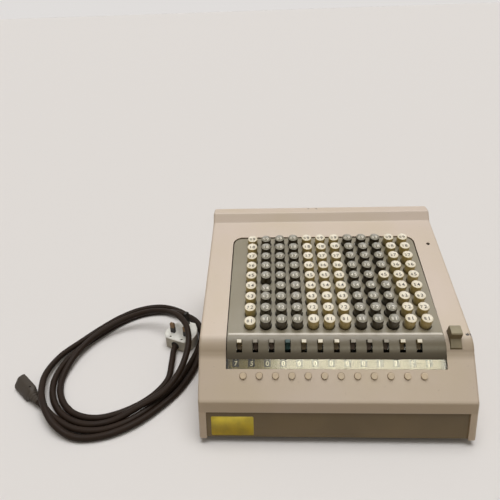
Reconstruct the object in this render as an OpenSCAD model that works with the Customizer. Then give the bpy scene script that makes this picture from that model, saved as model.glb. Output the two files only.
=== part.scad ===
// Key-driven desk calculator: a full keyboard of round keys over a row of number wheels, in a wedge
// shaped case, with its loose mains lead. Origin under the middle of the case, on the surface that
// the feet stand on. +X is to the operator's right, +Y to the back, +Z up. Millimetres and degrees.

/* [Case] */
// Width of the cover over its side walls
case_w = 322; // [310:1:360]
// Height of the rubber feet
foot_h = 9; // [7:0.5:14]
// Thickness of the cover's skin
wall = 2; // [1.5:0.1:2.6]
// Rounding where the top of the cover runs into its side walls
edge_r = 3.5; // [2:0.5:4.5]
// Length of the front face, measured up its slope
front_len = 48; // [44:1:60]
// Lean of the front face back from upright
front_lean = 16; // [10:1:20]
// Length of the register panel, measured up its slope
panel_len = 56.5; // [52:0.5:66]
// Slope of the register panel
panel_tilt = 46; // [43:1:50]
// Radius of the shoulder above the register panel
shoulder_r = 26; // [24:0.5:30]
// Angle that the shoulder turns through
shoulder_turn = 46.5; // [44:0.5:50]
// Slope of the top of the cover
cover_tilt = 13.5; // [12:0.5:15]
// Cover left behind the keyboard plate, in front of the rear step
behind_plate = 33.5; // [26:0.5:50]
// Slope of the rear step
step_tilt = 44; // [35:1:55]
// Length of the rear step, measured up its slope
step_len = 16; // [12:0.5:22]
// Depth of the level ledge at the back
ledge_d = 18.5; // [16:0.5:40]
// Rounding of the front edge, the ledge and the back edge
bend_r = 5.5; // [5:0.5:7]
// Thickness of the base pan
pan_t = 2; // [1.5:0.1:3]
// Height of the base pan's flanges
flange_h = 12; // [8:1:16]

/* [Front fascia] */
// Width of the opening for the fascia
fascia_w = 304; // [270:1:304]
// Height of the cover's lip above the fascia
lip_h = 13; // [9:0.5:18]
// Thickness of the fascia panel
fascia_t = 1.6; // [1.2:0.1:2]
// Overlap of the fascia behind the lip and the posts
fascia_lap = 4; // [2:0.5:5]

/* [Keyboard] */
// Distance between key columns
col_pitch = 19; // [18.5:0.05:20]
// Distance between key rows
row_pitch = 18; // [17:0.1:20]
// Diameter of a key
key_d = 13.5; // [11:0.1:14.5]
// Height of a key's top above the plate
key_rise = 13; // [10:0.5:16]
// How far a key goes down
key_travel = 7; // [4:0.5:8]
// Clearance round a key in its hole
key_gap = 0.75; // [0.4:0.05:1]
// Diameter of a key's stem
stem_d = 4; // [3:0.5:5]
// Slope of the keyboard plate
keyboard_tilt = 12; // [11:0.5:13]
// Plate to the left of the first key column
margin_left = 27; // [26:0.5:32]
// Plate to the right of the last key column
margin_right = 18; // [18:0.5:24]
// Plate in front of the first row and behind the last
margin_ends = 13; // [11:0.5:16]
// Corner radius at the back of the plate
plate_corner_r = 12; // [6:1:20]
// Thickness of the plate
plate_t = 1.6; // [1.2:0.1:2]
// Height of the plate's front ridge above the cover
plate_proud = 3.2; // [2.5:0.1:4]
// Radius of the roll at the front of the plate
roll_r = 28; // [27:0.5:30]
// Slope at which the roll ends
roll_end = 76; // [72:1:78]
// Gap between the plate and the cover
plate_gap = 1.3; // [0.8:0.1:2.5]
// Depth of the lower guide plate under the keyboard plate
guide_depth = 22; // [20:0.5:26]

/* [Cut-off levers] */
// Width of a lever's finger tab
tab_w = 5.5; // [4:0.1:6]
// Height of a finger tab above the roll
tab_rise = 4; // [2.5:0.5:6]
// Thickness of a finger tab
tab_t = 4; // [3:0.5:5]
// Clearance beside a tab in its slot
tab_gap = 0.6; // [0.4:0.1:1]
// Swing of a lever
lever_swing = 20; // [16:1:22]
// Distance of a lever to the left of its key column
lever_shift = 12.3; // [11.8:0.1:12.6]
// Diameter of the lever shaft
lever_shaft_d = 6; // [4:0.5:7]

/* [Register] */
// Distance from the shoulder down to the lower edge of the register opening
register_low = 18.7; // [17:0.1:20]
// Diameter of a number wheel
wheel_d = 24; // [20:0.5:25]
// Width of a number wheel's rim
wheel_w = 7.5; // [6:0.1:7.8]
// Depth of the wheels' rims under the register panel
wheel_depth = 13; // [11:0.5:15]
// Distance of a wheel to the right of its key column
wheel_shift = 1.5; // [1.3:0.1:2]
// Diameter of the register shaft
register_shaft_d = 6; // [4:0.5:8]
// Thickness of the clear window
window_t = 2.5; // [1.5:0.1:3]
// Diameter of a decimal button
button_d = 7.8; // [5:0.1:9]
// Height of a decimal button above the panel
button_rise = 2; // [1.6:0.1:3]
// How far a decimal button goes down
button_travel = 1.5; // [0.8:0.1:1.5]
// Distance from the shoulder down to the row of buttons
button_low = 26.3; // [25.5:0.1:32]

/* [Clear key] */
// Width of the clear key
clear_w = 13; // [9:0.5:15]
// Length of the clear key's top
clear_top = 12.5; // [9:0.5:16]
// Height of the clear key above the cover
clear_rise = 10.8; // [9:0.1:14]
// How far the clear key goes down
clear_travel = 6; // [3:0.5:6]
// Distance of the clear key from the edge of the plate's opening
clear_inset = 4.8; // [3:0.1:8]

/* [Lead] */
// Diameter of the mains lead
cord_d = 8.5; // [7:0.1:8.5]
// Width of the plug's body
plug_w = 47; // [45:0.5:47]
// Height of the plug's body
plug_h = 20; // [16:0.5:20]
// Width of the connector
connector_w = 27; // [20:0.5:28]
// Height of the connector
connector_h = 17; // [15:0.5:20]

/* [Hidden] */
$fn = 48;
key_cols = 12;
key_rows = 9;
wheels = key_cols + 1;
// Clearances: parts that slide, a shaft in its hole, flat parts that stand beside each other
slide_gap = 0.4;
shaft_gap = 0.05;
run_gap = 0.08;
seat_gap = 0.3;
skirt = 12;

// Directions in the side view, as [y, z]: along a slope, and out of it
function along(a) = [cos(a), sin(a)];
function out(a) = [-sin(a), cos(a)];

// Length of the plate's flat, and of the cover's top that carries it
plate_w = (key_cols - 1) * col_pitch + margin_left + margin_right;
plate_len = (key_rows - 1) * row_pitch + 2 * margin_ends;
top_len = plate_len + behind_plate;

// Corners of the side view from the front bottom edge, over the top, to the back edge
case_d = front_len * sin(front_lean) + panel_len * cos(panel_tilt)
    + shoulder_r * (sin(cover_tilt + shoulder_turn) - sin(cover_tilt))
    + top_len * cos(cover_tilt) + step_len * cos(step_tilt) + ledge_d;
front_foot = [-case_d / 2, foot_h];
front_edge = front_foot + front_len * along(90 - front_lean);
crease = front_edge + panel_len * along(panel_tilt);
shoulder_c = crease - shoulder_r * out(cover_tilt + shoulder_turn);
shoulder_top = shoulder_c + shoulder_r * out(cover_tilt);
step_foot = shoulder_top + top_len * along(cover_tilt);
step_top = step_foot + step_len * along(step_tilt);
back_edge = [case_d / 2, step_top[1]];
floor_z = foot_h + pan_t;

// Keyboard frame: its origin is the middle of the key grid, on top of the plate
ridge = shoulder_top + plate_proud * out(cover_tilt);
plate_half = plate_len / 2;
grid = ridge + plate_half * along(keyboard_tilt);
roll_c = ridge - roll_r * out(keyboard_tilt);
function plate_point(v, n) = grid + v * along(keyboard_tilt) + n * out(keyboard_tilt);
function col_x(c) = -plate_w / 2 + margin_left + (c - 1) * col_pitch;
function row_v(r) = (r - (key_rows + 1) / 2) * row_pitch;

// Register frame: s runs down the panel from the crease, and d into the case
function panel_point(s, d) = crease - s * along(panel_tilt) - d * out(panel_tilt);
wheel_s = 12;
wheel_c = panel_point(wheel_s, wheel_depth + wheel_d / 2);
function wheel_x(w) = col_x(w - 1) + wheel_shift;
function button_x(b) = wheel_x(b) + col_pitch / 2;
function lever_x(l) = col_x(l) - lever_shift;

// Opening in the cover for the plate and the register
opening_w = plate_w + 2 * plate_gap;
opening_back = plate_half + plate_gap;
opening_front = (panel_point(register_low, 0) - grid) * along(keyboard_tilt);

// Side frames that carry the plate, the shafts and the register
frame_t = 2.5;
frame_inset = 3;
frame_in = plate_w / 2 - frame_inset;
frame_out = frame_in + frame_t;
frame_depth = 9;
frame_end = 6;
shaft_end = frame_out + 1;
tie_rod_d = 8;
tie_front = [80, 28];
tie_middle = [-20, 40];
tie_back = [55, 55];
grid_foot = [grid[0], floor_z];
tie_rods_at = [front_foot + tie_front, grid_foot + tie_middle, grid_foot + tie_back];

// Keys
key_foot = key_travel + 2;
key_dish = 0.6;
key_bevel = 0.9;
guide_t = 1.6;
stem_end = guide_depth + guide_t + 5;

// Levers: a finger tab on a shield that closes the slot, on an arm from the lever shaft
lever_rest = 33;
tab_room = 6;
slot_from = lever_rest - 5;
slot_to = lever_rest + lever_swing + tab_room;
shield_out = roll_r - plate_t - 3.4;
shield_in = shield_out - 2;
shield_turn = 19;
shield_from = lever_rest + 7;
arm_t = 2;
arm_w = 3.4;
hub_wall = 2;
lever_hub_w = 5;

// Number wheels and the mask in front of them
wheel_hub_w = 12;
wheel_wall = 2;
mask_t = 1;
mask_gap = 0.8;
mask_lap = 10;
digit_w = wheel_w + 0.6;
digit_h = 8.6;

// Window under the register opening, from below the roll to behind the lower edge
window_top = 6.9;
window_lap = 1.8;

// Clear key, in the frame of the cover's top at the shoulder
clear_x = opening_w / 2 + clear_inset + clear_w / 2;
clear_back = 7;
clear_nose = clear_back - clear_top;
clear_apron = 10;
clear_drop = 6.3;
clear_step = 2.5;
clear_root = 16;
clear_lean = 1;

// Hole in the cover's right margin, rear vents and mains inlet
lock_d = 5;
lock_at = [case_w / 2 - 14.5, 154.5];
vents = 7;
vent_w = 46;
vent_h = 3;
vent_pitch = 8;
vent_at = [70, floor_z + 55];
inlet_at = [-95, floor_z + 32];
inlet_mouth = [connector_w + 1, connector_h + 1];
inlet_wall = 3.5;
inlet_depth = 22;
pin_len = 13;
pin_d = 3.2;

// Motor behind the side frames
motor_d = 54;
motor_len = 90;
motor_lift = 8;
motor_c = [case_d / 2 - wall - 16 - motor_d / 2, floor_z + motor_lift + motor_d / 2];
motor_x = -20;

// Feet and their screws
foot_d = 22;
foot_taper = 1.5;
foot_inset = [32, 36];
screw_d = 4;
screw_head_d = 7.6;
screw_head_h = 2.4;
screw_seat = 4;
screw_past = 3;

// Line of the lead from the connector, three times round and over the plug's pins, to the plug
lead_line = [
    [-379.5, -95, 8.5], [-369.5, -102.8, 7.2], [-349.5, -118.9, 6.6], [-319.1, -134.2, 5.2],
    [-284.4, -135, 4.4], [-252.8, -120, 4.4], [-227, -94.5, 4.3], [-206.9, -65, 4.4],
    [-193.8, -31.9, 4.4], [-184.5, 3.4, 4.4], [-181.9, 39.7, 4.4], [-200.3, 73, 4.3],
    [-225.9, 97.1, 4.4], [-258.1, 107.5, 4.8], [-291.6, 100.8, 4.7], [-320.4, 80.6, 4.4],
    [-343.9, 53.6, 4.4], [-364.8, 23.8, 4.6], [-382.7, -8.8, 7.2], [-389.2, -44.6, 10],
    [-381.4, -77.7, 14.3], [-366.5, -106.4, 17.1], [-343.8, -132.4, 11.2], [-313.9, -146.3, 5.1],
    [-279.2, -143.3, 4.8], [-247.2, -127.4, 5.8], [-221.2, -102.1, 5], [-199.8, -72.8, 4.4],
    [-186, -41, 5], [-178.4, -8.1, 9.2], [-178.8, 28.9, 13.7], [-192.8, 60.4, 14],
    [-220.9, 82.9, 10.5], [-253.3, 94.9, 5.7], [-286.8, 88.2, 4.5], [-315.4, 67.7, 4.4],
    [-339.2, 40.8, 4.4], [-360.1, 11.3, 4.5], [-373.7, -21.5, 4.6], [-375.3, -56.7, 4.6],
    [-362.7, -89.5, 4.5], [-338.6, -114.8, 4.4], [-306.7, -126.9, 4.4], [-274.2, -121.6, 5.1],
    [-244.2, -104.4, 11.4], [-215.2, -84.3, 17.2], [-197.4, -55.9, 26.3], [-190.7, -21.6, 37.1],
    [-196.2, 10.7, 42.4], [-213.4, 39.3, 41.1], [-239.3, 59.9, 34.5], [-270.5, 67.8, 26.5],
    [-302.7, 60.8, 19.4], [-330.9, 41.5, 14.5], [-350.9, 14.7, 11.6], [-362.1, -17.1, 9.1],
    [-365.3, -53.7, 5.1], [-353.3, -86.3, 4.4], [-328.4, -110.1, 4.4], [-295.9, -117.2, 4.3],
    [-263, -106.1, 4.4], [-235.2, -84.2, 4.4], [-217.8, -54.1, 4.7], [-216.6, -23.6, 8],
    [-217.9, -4.5, 8.4], [-217.7, 6.5, 9], [-217.5, 16.5, 9]
];
lead_spans = len(lead_line) - 1;
rings_a_span = 2;
cord_sides = 8;
cord_r = cord_d / 2;
cord_hole_d = cord_d + 2.4;
cord_hole_depth = 6;
connector_mid = lead_line[0][2];
connector_aim = atan2(lead_line[1][1] - lead_line[0][1], lead_line[1][0] - lead_line[0][0]);
connector_len = 20;
connector_taper = 9;
relief_len = 20;

// Plug: local X across it, Y from its flat front where the lead goes in
plug_len = 45;
plug_front = 31;
plug_end = 18;
plug_shoulder = 10;
plug_turn = -23;
plug_edge = 2;
plug_entry = lead_line[lead_spans] - [0, cord_hole_depth, 0];
grip_at = [9.5, 4.5];
grip_d = 3.4;
grip_depth = 5;
// Pins: across, along and up
live_pin = [6.35, 4, 17.7];
earth_pin = [4, 8, 22.7];
live_at = [11.1, 14.5];
earth_at = 36.7;
pin_bevel = 1;

PARTS = [
    "base_pan", "top_cover", "keyboard_plate", "front_fascia", "register_window", "register_mask",
    "rubber_feet", "foot_screws", "side_frame_left", "side_frame_right", "key_guide_plate",
    "register_shaft", "lever_shaft", "tie_rods", "drive_motor", "motor_cradle", "power_inlet",
    "mains_lead", "lead_connector", "lead_plug", "lead_plug_pins", "clear_key", "decimal_buttons"
];
function numbered(name, n) = [for (i = [1:n]) str(name, i)];

// Colours
putty = "#cdbda8";
taupe = "#8d8573";
ivory = "#efe8d2";
dark_key = "#4a4338";

// A key column is ivory or dark in groups of three, counted from the right
function dark_column(c) = (c >= 2 && c <= 4) || (c >= 8 && c <= 10);

// Unit vector, and the side of a step that faces into the outline
function unit(v) = v / norm(v);
function inward(v) = unit([v[1], -v[0]]);

// Points of an arc of radius r that rounds the corner b between a and c
function corner(a, b, c, r, n) =
    let (u = unit(a - b), v = unit(c - b), half = acos(u * v) / 2)
    let (o = b + unit(u + v) * r / sin(half), p = b + u * r / tan(half) - o)
    let (q = b + v * r / tan(half) - o, turn = atan2(p[0] * q[1] - p[1] * q[0], p * q))
    [for (i = [0:n]) let (t = turn * i / n)
        o + [p[0] * cos(t) - p[1] * sin(t), p[0] * sin(t) + p[1] * cos(t)]];

// Points of an arc about c, from one slope to another
function slope_arc(c, r, from, to, n) = [for (i = [0:n]) c + r * out(from + (to - from) * i / n)];

// Outline moved inwards by d
function inset(line, d) = [
    for (i = [0:len(line) - 1])
        let (n = len(line), u = inward(line[i] - line[(i + n - 1) % n]))
        let (v = inward(line[(i + 1) % n] - line[i]))
        line[i] + d * (u + v) / (1 + u * v)
];

// Side view of the cover, drawn on below its lower edge so that the edge can be trimmed level
front_skirt = front_foot - skirt * along(90 - front_lean);
back_skirt = [case_d / 2, foot_h - skirt];
side_middle = [case_d / 20, foot_h + 40];
cover_line = concat(
    [front_skirt],
    corner(front_skirt, front_edge, crease, bend_r, 4),
    slope_arc(shoulder_c, shoulder_r, cover_tilt + shoulder_turn, cover_tilt, 10),
    corner(shoulder_top, step_foot, step_top, bend_r, 3),
    corner(step_foot, step_top, back_edge, bend_r, 4),
    corner(step_top, back_edge, back_skirt, bend_r, 6),
    [back_skirt]
);

// Places a piece on a slope of the side view, with its Z out of that slope
module at(p, slope) {
    translate([0, p[0], p[1]]) rotate([slope, 0, 0]) children();
}

// Extrudes a side view along X, over the middle
module across(w) {
    rotate([90, 0, 90]) linear_extrude(w, center = true) children();
}

// Round bar along X through a point of the side view
module bar(p, d, len, x = 0) {
    translate([x, p[0], p[1]]) rotate([0, 90, 0]) cylinder(d = d, h = len, center = true);
}

// Rectangle with its two back corners rounded
module rounded_back(w, from, to, r) {
    translate([-w / 2, from]) square([w, to - from - r]);
    translate([-w / 2 + r, from]) square([w - 2 * r, to - from]);
    for (side = [-1, 1]) translate([side * (w / 2 - r), to - r]) circle(r);
}

// Round bar with collars that hold the pieces on it apart
module collared_shaft(p, d, collar_d, places, hub_w) {
    ends = concat([-frame_in - hub_w / 2], places, [frame_in + hub_w / 2]);
    bar(p, d, 2 * shaft_end);
    for (i = [0:len(ends) - 2]) {
        from = ends[i] + hub_w / 2 + seat_gap;
        to = ends[i + 1] - hub_w / 2 - seat_gap;
        if (to - from > 1) bar(p, collar_d, to - from, (from + to) / 2);
    }
}

// Outer skin of the cover: the side view carried across, drawn in round a quarter circle at each side
module cover_skin() {
    steps = 4;
    flat = case_w / 2 - edge_r;
    left = [for (i = [0:steps]) [-flat - edge_r * cos(90 * i / steps), edge_r * (1 - sin(90 * i / steps))]];
    right = [for (i = [steps:-1:0]) [-left[i][0], left[i][1]]];
    rings = concat(left, right);
    n = len(cover_line);
    last = len(rings) - 1;
    skin = [for (ring = rings) for (p = inset(cover_line, ring[1])) [ring[0], p[0], p[1]]];
    middles = [for (side = [-1, 1]) [side * case_w / 2, side_middle[0], side_middle[1]]];
    caps = [for (i = [0:n - 1]) for (side = [0, 1])
        let (j = (i + 1) % n, first = side * last * n)
        side == 0 ? [len(skin), j, i] : [len(skin) + 1, first + i, first + j]];
    sides = [for (k = [0:last - 1]) for (i = [0:n - 1]) for (half = [0, 1])
        let (a = k * n + i, b = k * n + (i + 1) % n, c = (k + 1) * n + (i + 1) % n, d = (k + 1) * n + i)
        half == 0 ? [a, b, c] : [a, c, d]];
    polyhedron(concat(skin, middles), concat(sides, caps));
}

module clear_key_slot() {
    from = clear_nose - clear_apron - slide_gap;
    to = clear_back + slide_gap;
    at(shoulder_top, cover_tilt)
        translate([clear_x - clear_w / 2 - slide_gap, from, -20])
            cube([clear_w + 2 * slide_gap, to - from, 40]);
}

module top_cover() {
    color(putty) difference() {
        cover_skin();
        across(case_w - 2 * wall) polygon(inset(cover_line, wall));
        translate([-case_w, -case_d, foot_h - 2 * skirt]) cube([2 * case_w, 2 * case_d, 2 * skirt]);
        at(grid, keyboard_tilt) linear_extrude(80, center = true)
            rounded_back(opening_w, opening_front, opening_back, plate_corner_r + plate_gap);
        at(front_foot, 90 - front_lean)
            translate([-fascia_w / 2, -skirt, -wall - 1])
                cube([fascia_w, front_len - lip_h + skirt, wall + 3]);
        at(panel_point(button_low, 0), panel_tilt)
            for (b = [1:key_cols]) translate([button_x(b), 0, -wall - 2])
                cylinder(d = button_d + 2 * slide_gap, h = wall + 4);
        clear_key_slot();
        at(shoulder_top, cover_tilt) translate([lock_at[0], lock_at[1], -wall - 2])
            cylinder(d = lock_d, h = wall + 4);
        translate([inlet_at[0] - inlet_mouth[0] / 2, case_d / 2 - wall - 1, inlet_at[1] - inlet_mouth[1] / 2])
            cube([inlet_mouth[0], wall + 3, inlet_mouth[1]]);
        for (i = [0:vents - 1])
            translate([vent_at[0] - vent_w / 2, case_d / 2 - wall - 1, vent_at[1] + i * vent_pitch])
                cube([vent_w, wall + 3, vent_h]);
    }
}

// Corners of the base pan inside the cover, and the places of the feet under it
pan_x = case_w / 2 - wall - seat_gap;
pan_front = front_foot[0] + (wall + fascia_t) / cos(front_lean) + seat_gap + pan_t * tan(front_lean);
pan_back = case_d / 2 - wall - seat_gap;
feet_at = [for (x = [-1, 1]) for (y = [-1, 1])
    [x * (case_w / 2 - foot_inset[0]), y * (case_d / 2 - foot_inset[1])]];

module base_pan() {
    flange_front = pan_front + 12;
    color("#7d776c") difference() {
        union() {
            translate([-pan_x, pan_front, foot_h]) cube([2 * pan_x, pan_back - pan_front, pan_t]);
            for (side = [-1, 1])
                translate([side > 0 ? pan_x - pan_t : -pan_x, flange_front, foot_h])
                    cube([pan_t, pan_back - flange_front, flange_h]);
            translate([-pan_x, pan_back - pan_t, foot_h]) cube([2 * pan_x, pan_t, flange_h]);
        }
        for (p = feet_at) translate([p[0], p[1], foot_h - 1])
            cylinder(d = screw_d + 2 * shaft_gap, h = pan_t + 2);
    }
}

module rubber_feet() {
    color("#26241f") for (p = feet_at) translate([p[0], p[1], 0]) difference() {
        cylinder(d1 = foot_d - 2 * foot_taper, d2 = foot_d, h = foot_h);
        translate([0, 0, -1]) cylinder(d = screw_head_d + 1, h = screw_seat + 1);
        cylinder(d = screw_d + 2 * run_gap, h = foot_h + 1);
    }
}

module foot_screws() {
    color("silver") for (p = feet_at) translate([p[0], p[1], 0]) difference() {
        union() {
            translate([0, 0, screw_seat - screw_head_h]) cylinder(d = screw_head_d, h = screw_head_h);
            translate([0, 0, screw_seat]) cylinder(d = screw_d, h = floor_z + screw_past - screw_seat);
        }
        translate([-screw_head_d, -0.5, screw_seat - screw_head_h - 1]) cube([2 * screw_head_d, 1, 2]);
    }
}

module front_fascia() {
    color("#5a4f3f") at(front_foot, 90 - front_lean)
        translate([-fascia_w / 2 - fascia_lap, 1.2, -wall - fascia_t])
            cube([fascia_w + 2 * fascia_lap, front_len - lip_h + fascia_lap - 1.2, fascia_t]);
}

// Slots in the plate's roll, one for each finger tab
module lever_slots() {
    for (l = [1:key_cols]) translate([lever_x(l), 0, 0]) across(tab_w + 2 * tab_gap) polygon(concat(
        slope_arc(roll_c, roll_r + 6, slot_from, slot_to, 2),
        slope_arc(roll_c, roll_r - 6, slot_to, slot_from, 2)));
}

// Waste outside the rounding of the plate's back corners
module plate_corners() {
    r = plate_corner_r;
    for (side = [-1, 1]) translate([side * (plate_w / 2 - r), plate_half - r]) difference() {
        translate([side < 0 ? -r - 1 : 0, 0]) square([r + 1, r + 1]);
        circle(r);
    }
}

module keyboard_plate() {
    color(taupe) difference() {
        across(plate_w) polygon(concat(
            [plate_point(plate_half, 0)],
            slope_arc(roll_c, roll_r, keyboard_tilt, roll_end, 14),
            slope_arc(roll_c, roll_r - plate_t, roll_end, keyboard_tilt, 14),
            [plate_point(plate_half, -plate_t)]));
        at(grid, keyboard_tilt) translate([0, 0, -plate_t - 1]) linear_extrude(plate_t + 2) {
            plate_corners();
            for (c = [1:key_cols]) for (r = [1:key_rows])
                translate([col_x(c), row_v(r)]) circle(d = key_d + 2 * key_gap);
        }
        lever_slots();
    }
}

// Nine keys of a column: round caps with dished tops, on stems that run through the guide plate
module key_column(c) {
    r = key_d / 2;
    color(dark_column(c) ? dark_key : ivory) at(grid, keyboard_tilt) for (row = [1:key_rows])
        translate([col_x(c), row_v(row), 0]) {
            rotate_extrude() polygon([
                [0, -key_foot], [r, -key_foot], [r, key_rise - key_bevel], [r - key_bevel / 2, key_rise],
                [r - key_bevel, key_rise], [r / 2, key_rise - key_dish], [0, key_rise - key_dish]
            ]);
            translate([0, 0, -stem_end]) cylinder(d = stem_d, h = stem_end - key_foot);
        }
}

module key_guide_plate() {
    reach = plate_half - margin_ends + 5;
    color("#9a968c") at(grid, keyboard_tilt) translate([0, 0, -guide_depth - guide_t])
        linear_extrude(guide_t) difference() {
            translate([-frame_in, -reach]) square([2 * frame_in, 2 * reach]);
            for (c = [1:key_cols]) for (r = [1:key_rows])
                translate([col_x(c), row_v(r)]) circle(d = stem_d + 2 * slide_gap);
        }
}

// Side frame under one edge of the plate, with holes for the two shafts
module side_frame(side) {
    under = -plate_t - run_gap;
    nose = panel_point(register_low + frame_end, frame_depth);
    back = plate_point(plate_half - frame_end, under);
    color("#8b8a86") difference() {
        translate([side * (frame_in + frame_t / 2), 0, 0]) across(frame_t) polygon([
            [nose[0] + frame_end, floor_z], nose, panel_point(-2, frame_depth),
            plate_point(frame_end / 2 - plate_half, under), back, [back[0], floor_z]
        ]);
        bar(roll_c, lever_shaft_d + 2 * shaft_gap, case_w);
        bar(wheel_c, register_shaft_d + 2 * shaft_gap, case_w);
    }
}

module side_frame_left() side_frame(-1);

module side_frame_right() side_frame(1);

module tie_rods() {
    color("silver") for (p = tie_rods_at) bar(p, tie_rod_d, 2 * frame_in);
}

module lever_shaft() {
    color("silver") collared_shaft(roll_c, lever_shaft_d, lever_shaft_d + 3,
        [for (l = [1:key_cols]) lever_x(l)], lever_hub_w);
}

module register_shaft() {
    color("silver") collared_shaft(wheel_c, register_shaft_d, register_shaft_d + 4,
        [for (w = [1:wheels]) wheel_x(w)], wheel_hub_w);
}

// Corner of a finger tab: on its back or front side, at a distance from the lever shaft
function tab_point(side, n) = roll_c + side * tab_t / 2 * along(lever_rest) + n * out(lever_rest);

module cutoff_lever(l) {
    hub_d = lever_shaft_d + 2 * (hub_wall + run_gap);
    color(dark_column(l) ? dark_key : ivory) translate([lever_x(l), 0, 0]) difference() {
        union() {
            bar(roll_c, hub_d, lever_hub_w);
            at(roll_c, lever_rest) translate([-arm_t / 2, -arm_w / 2, 0]) cube([arm_t, arm_w, shield_in + 1]);
            across(tab_w) polygon(concat(
                [tab_point(1, shield_in), tab_point(1, roll_r + tab_rise)],
                [tab_point(-1, roll_r + tab_rise), tab_point(-1, shield_out)],
                slope_arc(roll_c, shield_out, shield_from, lever_rest + shield_turn, 3),
                slope_arc(roll_c, shield_in, lever_rest + shield_turn, shield_from, 3),
                [tab_point(-1, shield_in)]));
        }
        bar(roll_c, lever_shaft_d + 2 * run_gap, lever_hub_w + 2);
    }
}

// Number wheel: a hollow drum on a web, with a hub that turns on the register shaft
module number_wheel(w) {
    r = wheel_d / 2;
    bore_r = register_shaft_d / 2 + run_gap;
    hub_r = bore_r + hub_wall;
    half = wheel_w / 2;
    web = wheel_wall / 2;
    hub = wheel_hub_w / 2;
    inner = r - wheel_wall;
    color("#1b1a18") translate([wheel_x(w), wheel_c[0], wheel_c[1]]) rotate([0, 90, 0])
        rotate_extrude() polygon([
            [bore_r, -hub], [hub_r, -hub], [hub_r, -web], [inner, -web], [inner, -half], [r, -half],
            [r, half], [inner, half], [inner, web], [hub_r, web], [hub_r, hub], [bore_r, hub]
        ]);
}

// Mask with a window for each wheel, let in between the side frames
module register_mask() {
    color("#4d4f45") at(panel_point(wheel_s, wheel_depth - mask_gap - mask_t), panel_tilt)
        linear_extrude(mask_t) difference() {
            translate([-frame_in, -mask_lap]) square([2 * frame_in, 2 * mask_lap]);
            for (w = [1:wheels])
                translate([wheel_x(w) - digit_w / 2, -digit_h / 2]) square([digit_w, digit_h]);
        }
}

// Clear strip that lies against the inside of the cover below and beside the opening
module register_window() {
    color([0.85, 0.9, 0.85, 0.5]) at(panel_point(register_low + window_lap, wall), panel_tilt)
        translate([-opening_w / 2 - window_lap, 0, -window_t])
            cube([opening_w + 2 * window_lap, register_low + window_lap - window_top, window_t]);
}

// Decimal buttons: flanged under the cover, with a bevelled top
module decimal_buttons() {
    r = button_d / 2;
    under = -wall - seat_gap;
    color(putty) at(panel_point(button_low, 0), panel_tilt) for (b = [1:key_cols])
        translate([button_x(b), 0, 0]) rotate_extrude() polygon([
            [0, under - 4], [r - 1, under - 4], [r - 1, under - 1.2], [r + 1.2, under - 1.2],
            [r + 1.2, under], [r, under], [r, button_rise - 0.5], [r - 0.6, button_rise], [0, button_rise]
        ]);
}

// Clear key: a block with a finger nose over an apron that lies along the shoulder
module clear_key() {
    color("#7f7d68") translate([clear_x, 0, 0]) at(shoulder_top, cover_tilt) across(clear_w) polygon([
        [clear_nose - clear_apron, clear_step - clear_drop], [clear_nose - clear_lean, clear_step],
        [clear_nose - clear_lean / 2, clear_rise - 1], [clear_nose + 1, clear_rise],
        [clear_back - 1, clear_rise], [clear_back, clear_rise - 1],
        [clear_back, -clear_root], [clear_nose - clear_apron, -clear_root]
    ]);
}

// Mains inlet behind the rear wall: a walled socket with three pins
module power_inlet() {
    size = inlet_mouth + 2 * [inlet_wall, inlet_wall];
    back = case_d / 2 - wall;
    color("#2a2825") translate([inlet_at[0], back, inlet_at[1]]) {
        difference() {
            translate([-size[0] / 2, -inlet_depth, -size[1] / 2]) cube([size[0], inlet_depth, size[1]]);
            translate([-inlet_mouth[0] / 2, -inlet_depth + inlet_wall, -inlet_mouth[1] / 2])
                cube([inlet_mouth[0], inlet_depth, inlet_mouth[1]]);
        }
        for (p = [[-7, -2.5], [0, 3], [7, -2.5]])
            translate([p[0], -inlet_depth + inlet_wall, p[1]]) rotate([-90, 0, 0])
                cylinder(d = pin_d, h = pin_len);
    }
}

// Mains motor with its end bells, shaft and pulley
module drive_motor() {
    color("#3a3d3f") {
        bar(motor_c, motor_d, motor_len, motor_x);
        bar(motor_c, motor_d - 10, motor_len + 16, motor_x);
        bar(motor_c, 8, motor_len + 60, motor_x);
        bar(motor_c, 22, 10, motor_x + motor_len / 2 + 24);
    }
}

// Two saddles that carry the motor on the base pan
module motor_cradle() {
    color("#8b8a86") difference() {
        for (side = [-1, 1]) translate([motor_x + side * motor_len / 3 - 6, motor_c[0] - motor_d / 3, floor_z])
            cube([12, motor_d * 2 / 3, motor_lift + motor_d / 4]);
        bar(motor_c, motor_d + 2 * seat_gap, motor_len, motor_x);
    }
}

// Smooth curve through a list of points, at u points along it
function curve(line, u) =
    let (last = len(line) - 1, i = min(floor(u), last - 1), t = u - i)
    let (b = line[i], c = line[i + 1])
    let (a = i > 0 ? line[i - 1] : 2 * b - c, d = i + 2 <= last ? line[i + 2] : 2 * c - b)
    b + t / 2 * (c - a + t * (2 * a - 5 * b + 4 * c - d + t * (3 * (b - c) + d - a)));

ring_count = rings_a_span * lead_spans;
function lead_at(i, n) = curve(lead_line, lead_spans * i / n);

// Least gap between strands of the lead that are well apart along it
function lead_gap(n, skip) =
    let (p = [for (i = [0:n]) lead_at(i, n)])
    min([for (i = [0:n - skip]) min([for (j = [i + skip:n]) norm(p[i] - p[j])])]) - cord_d;

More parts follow.
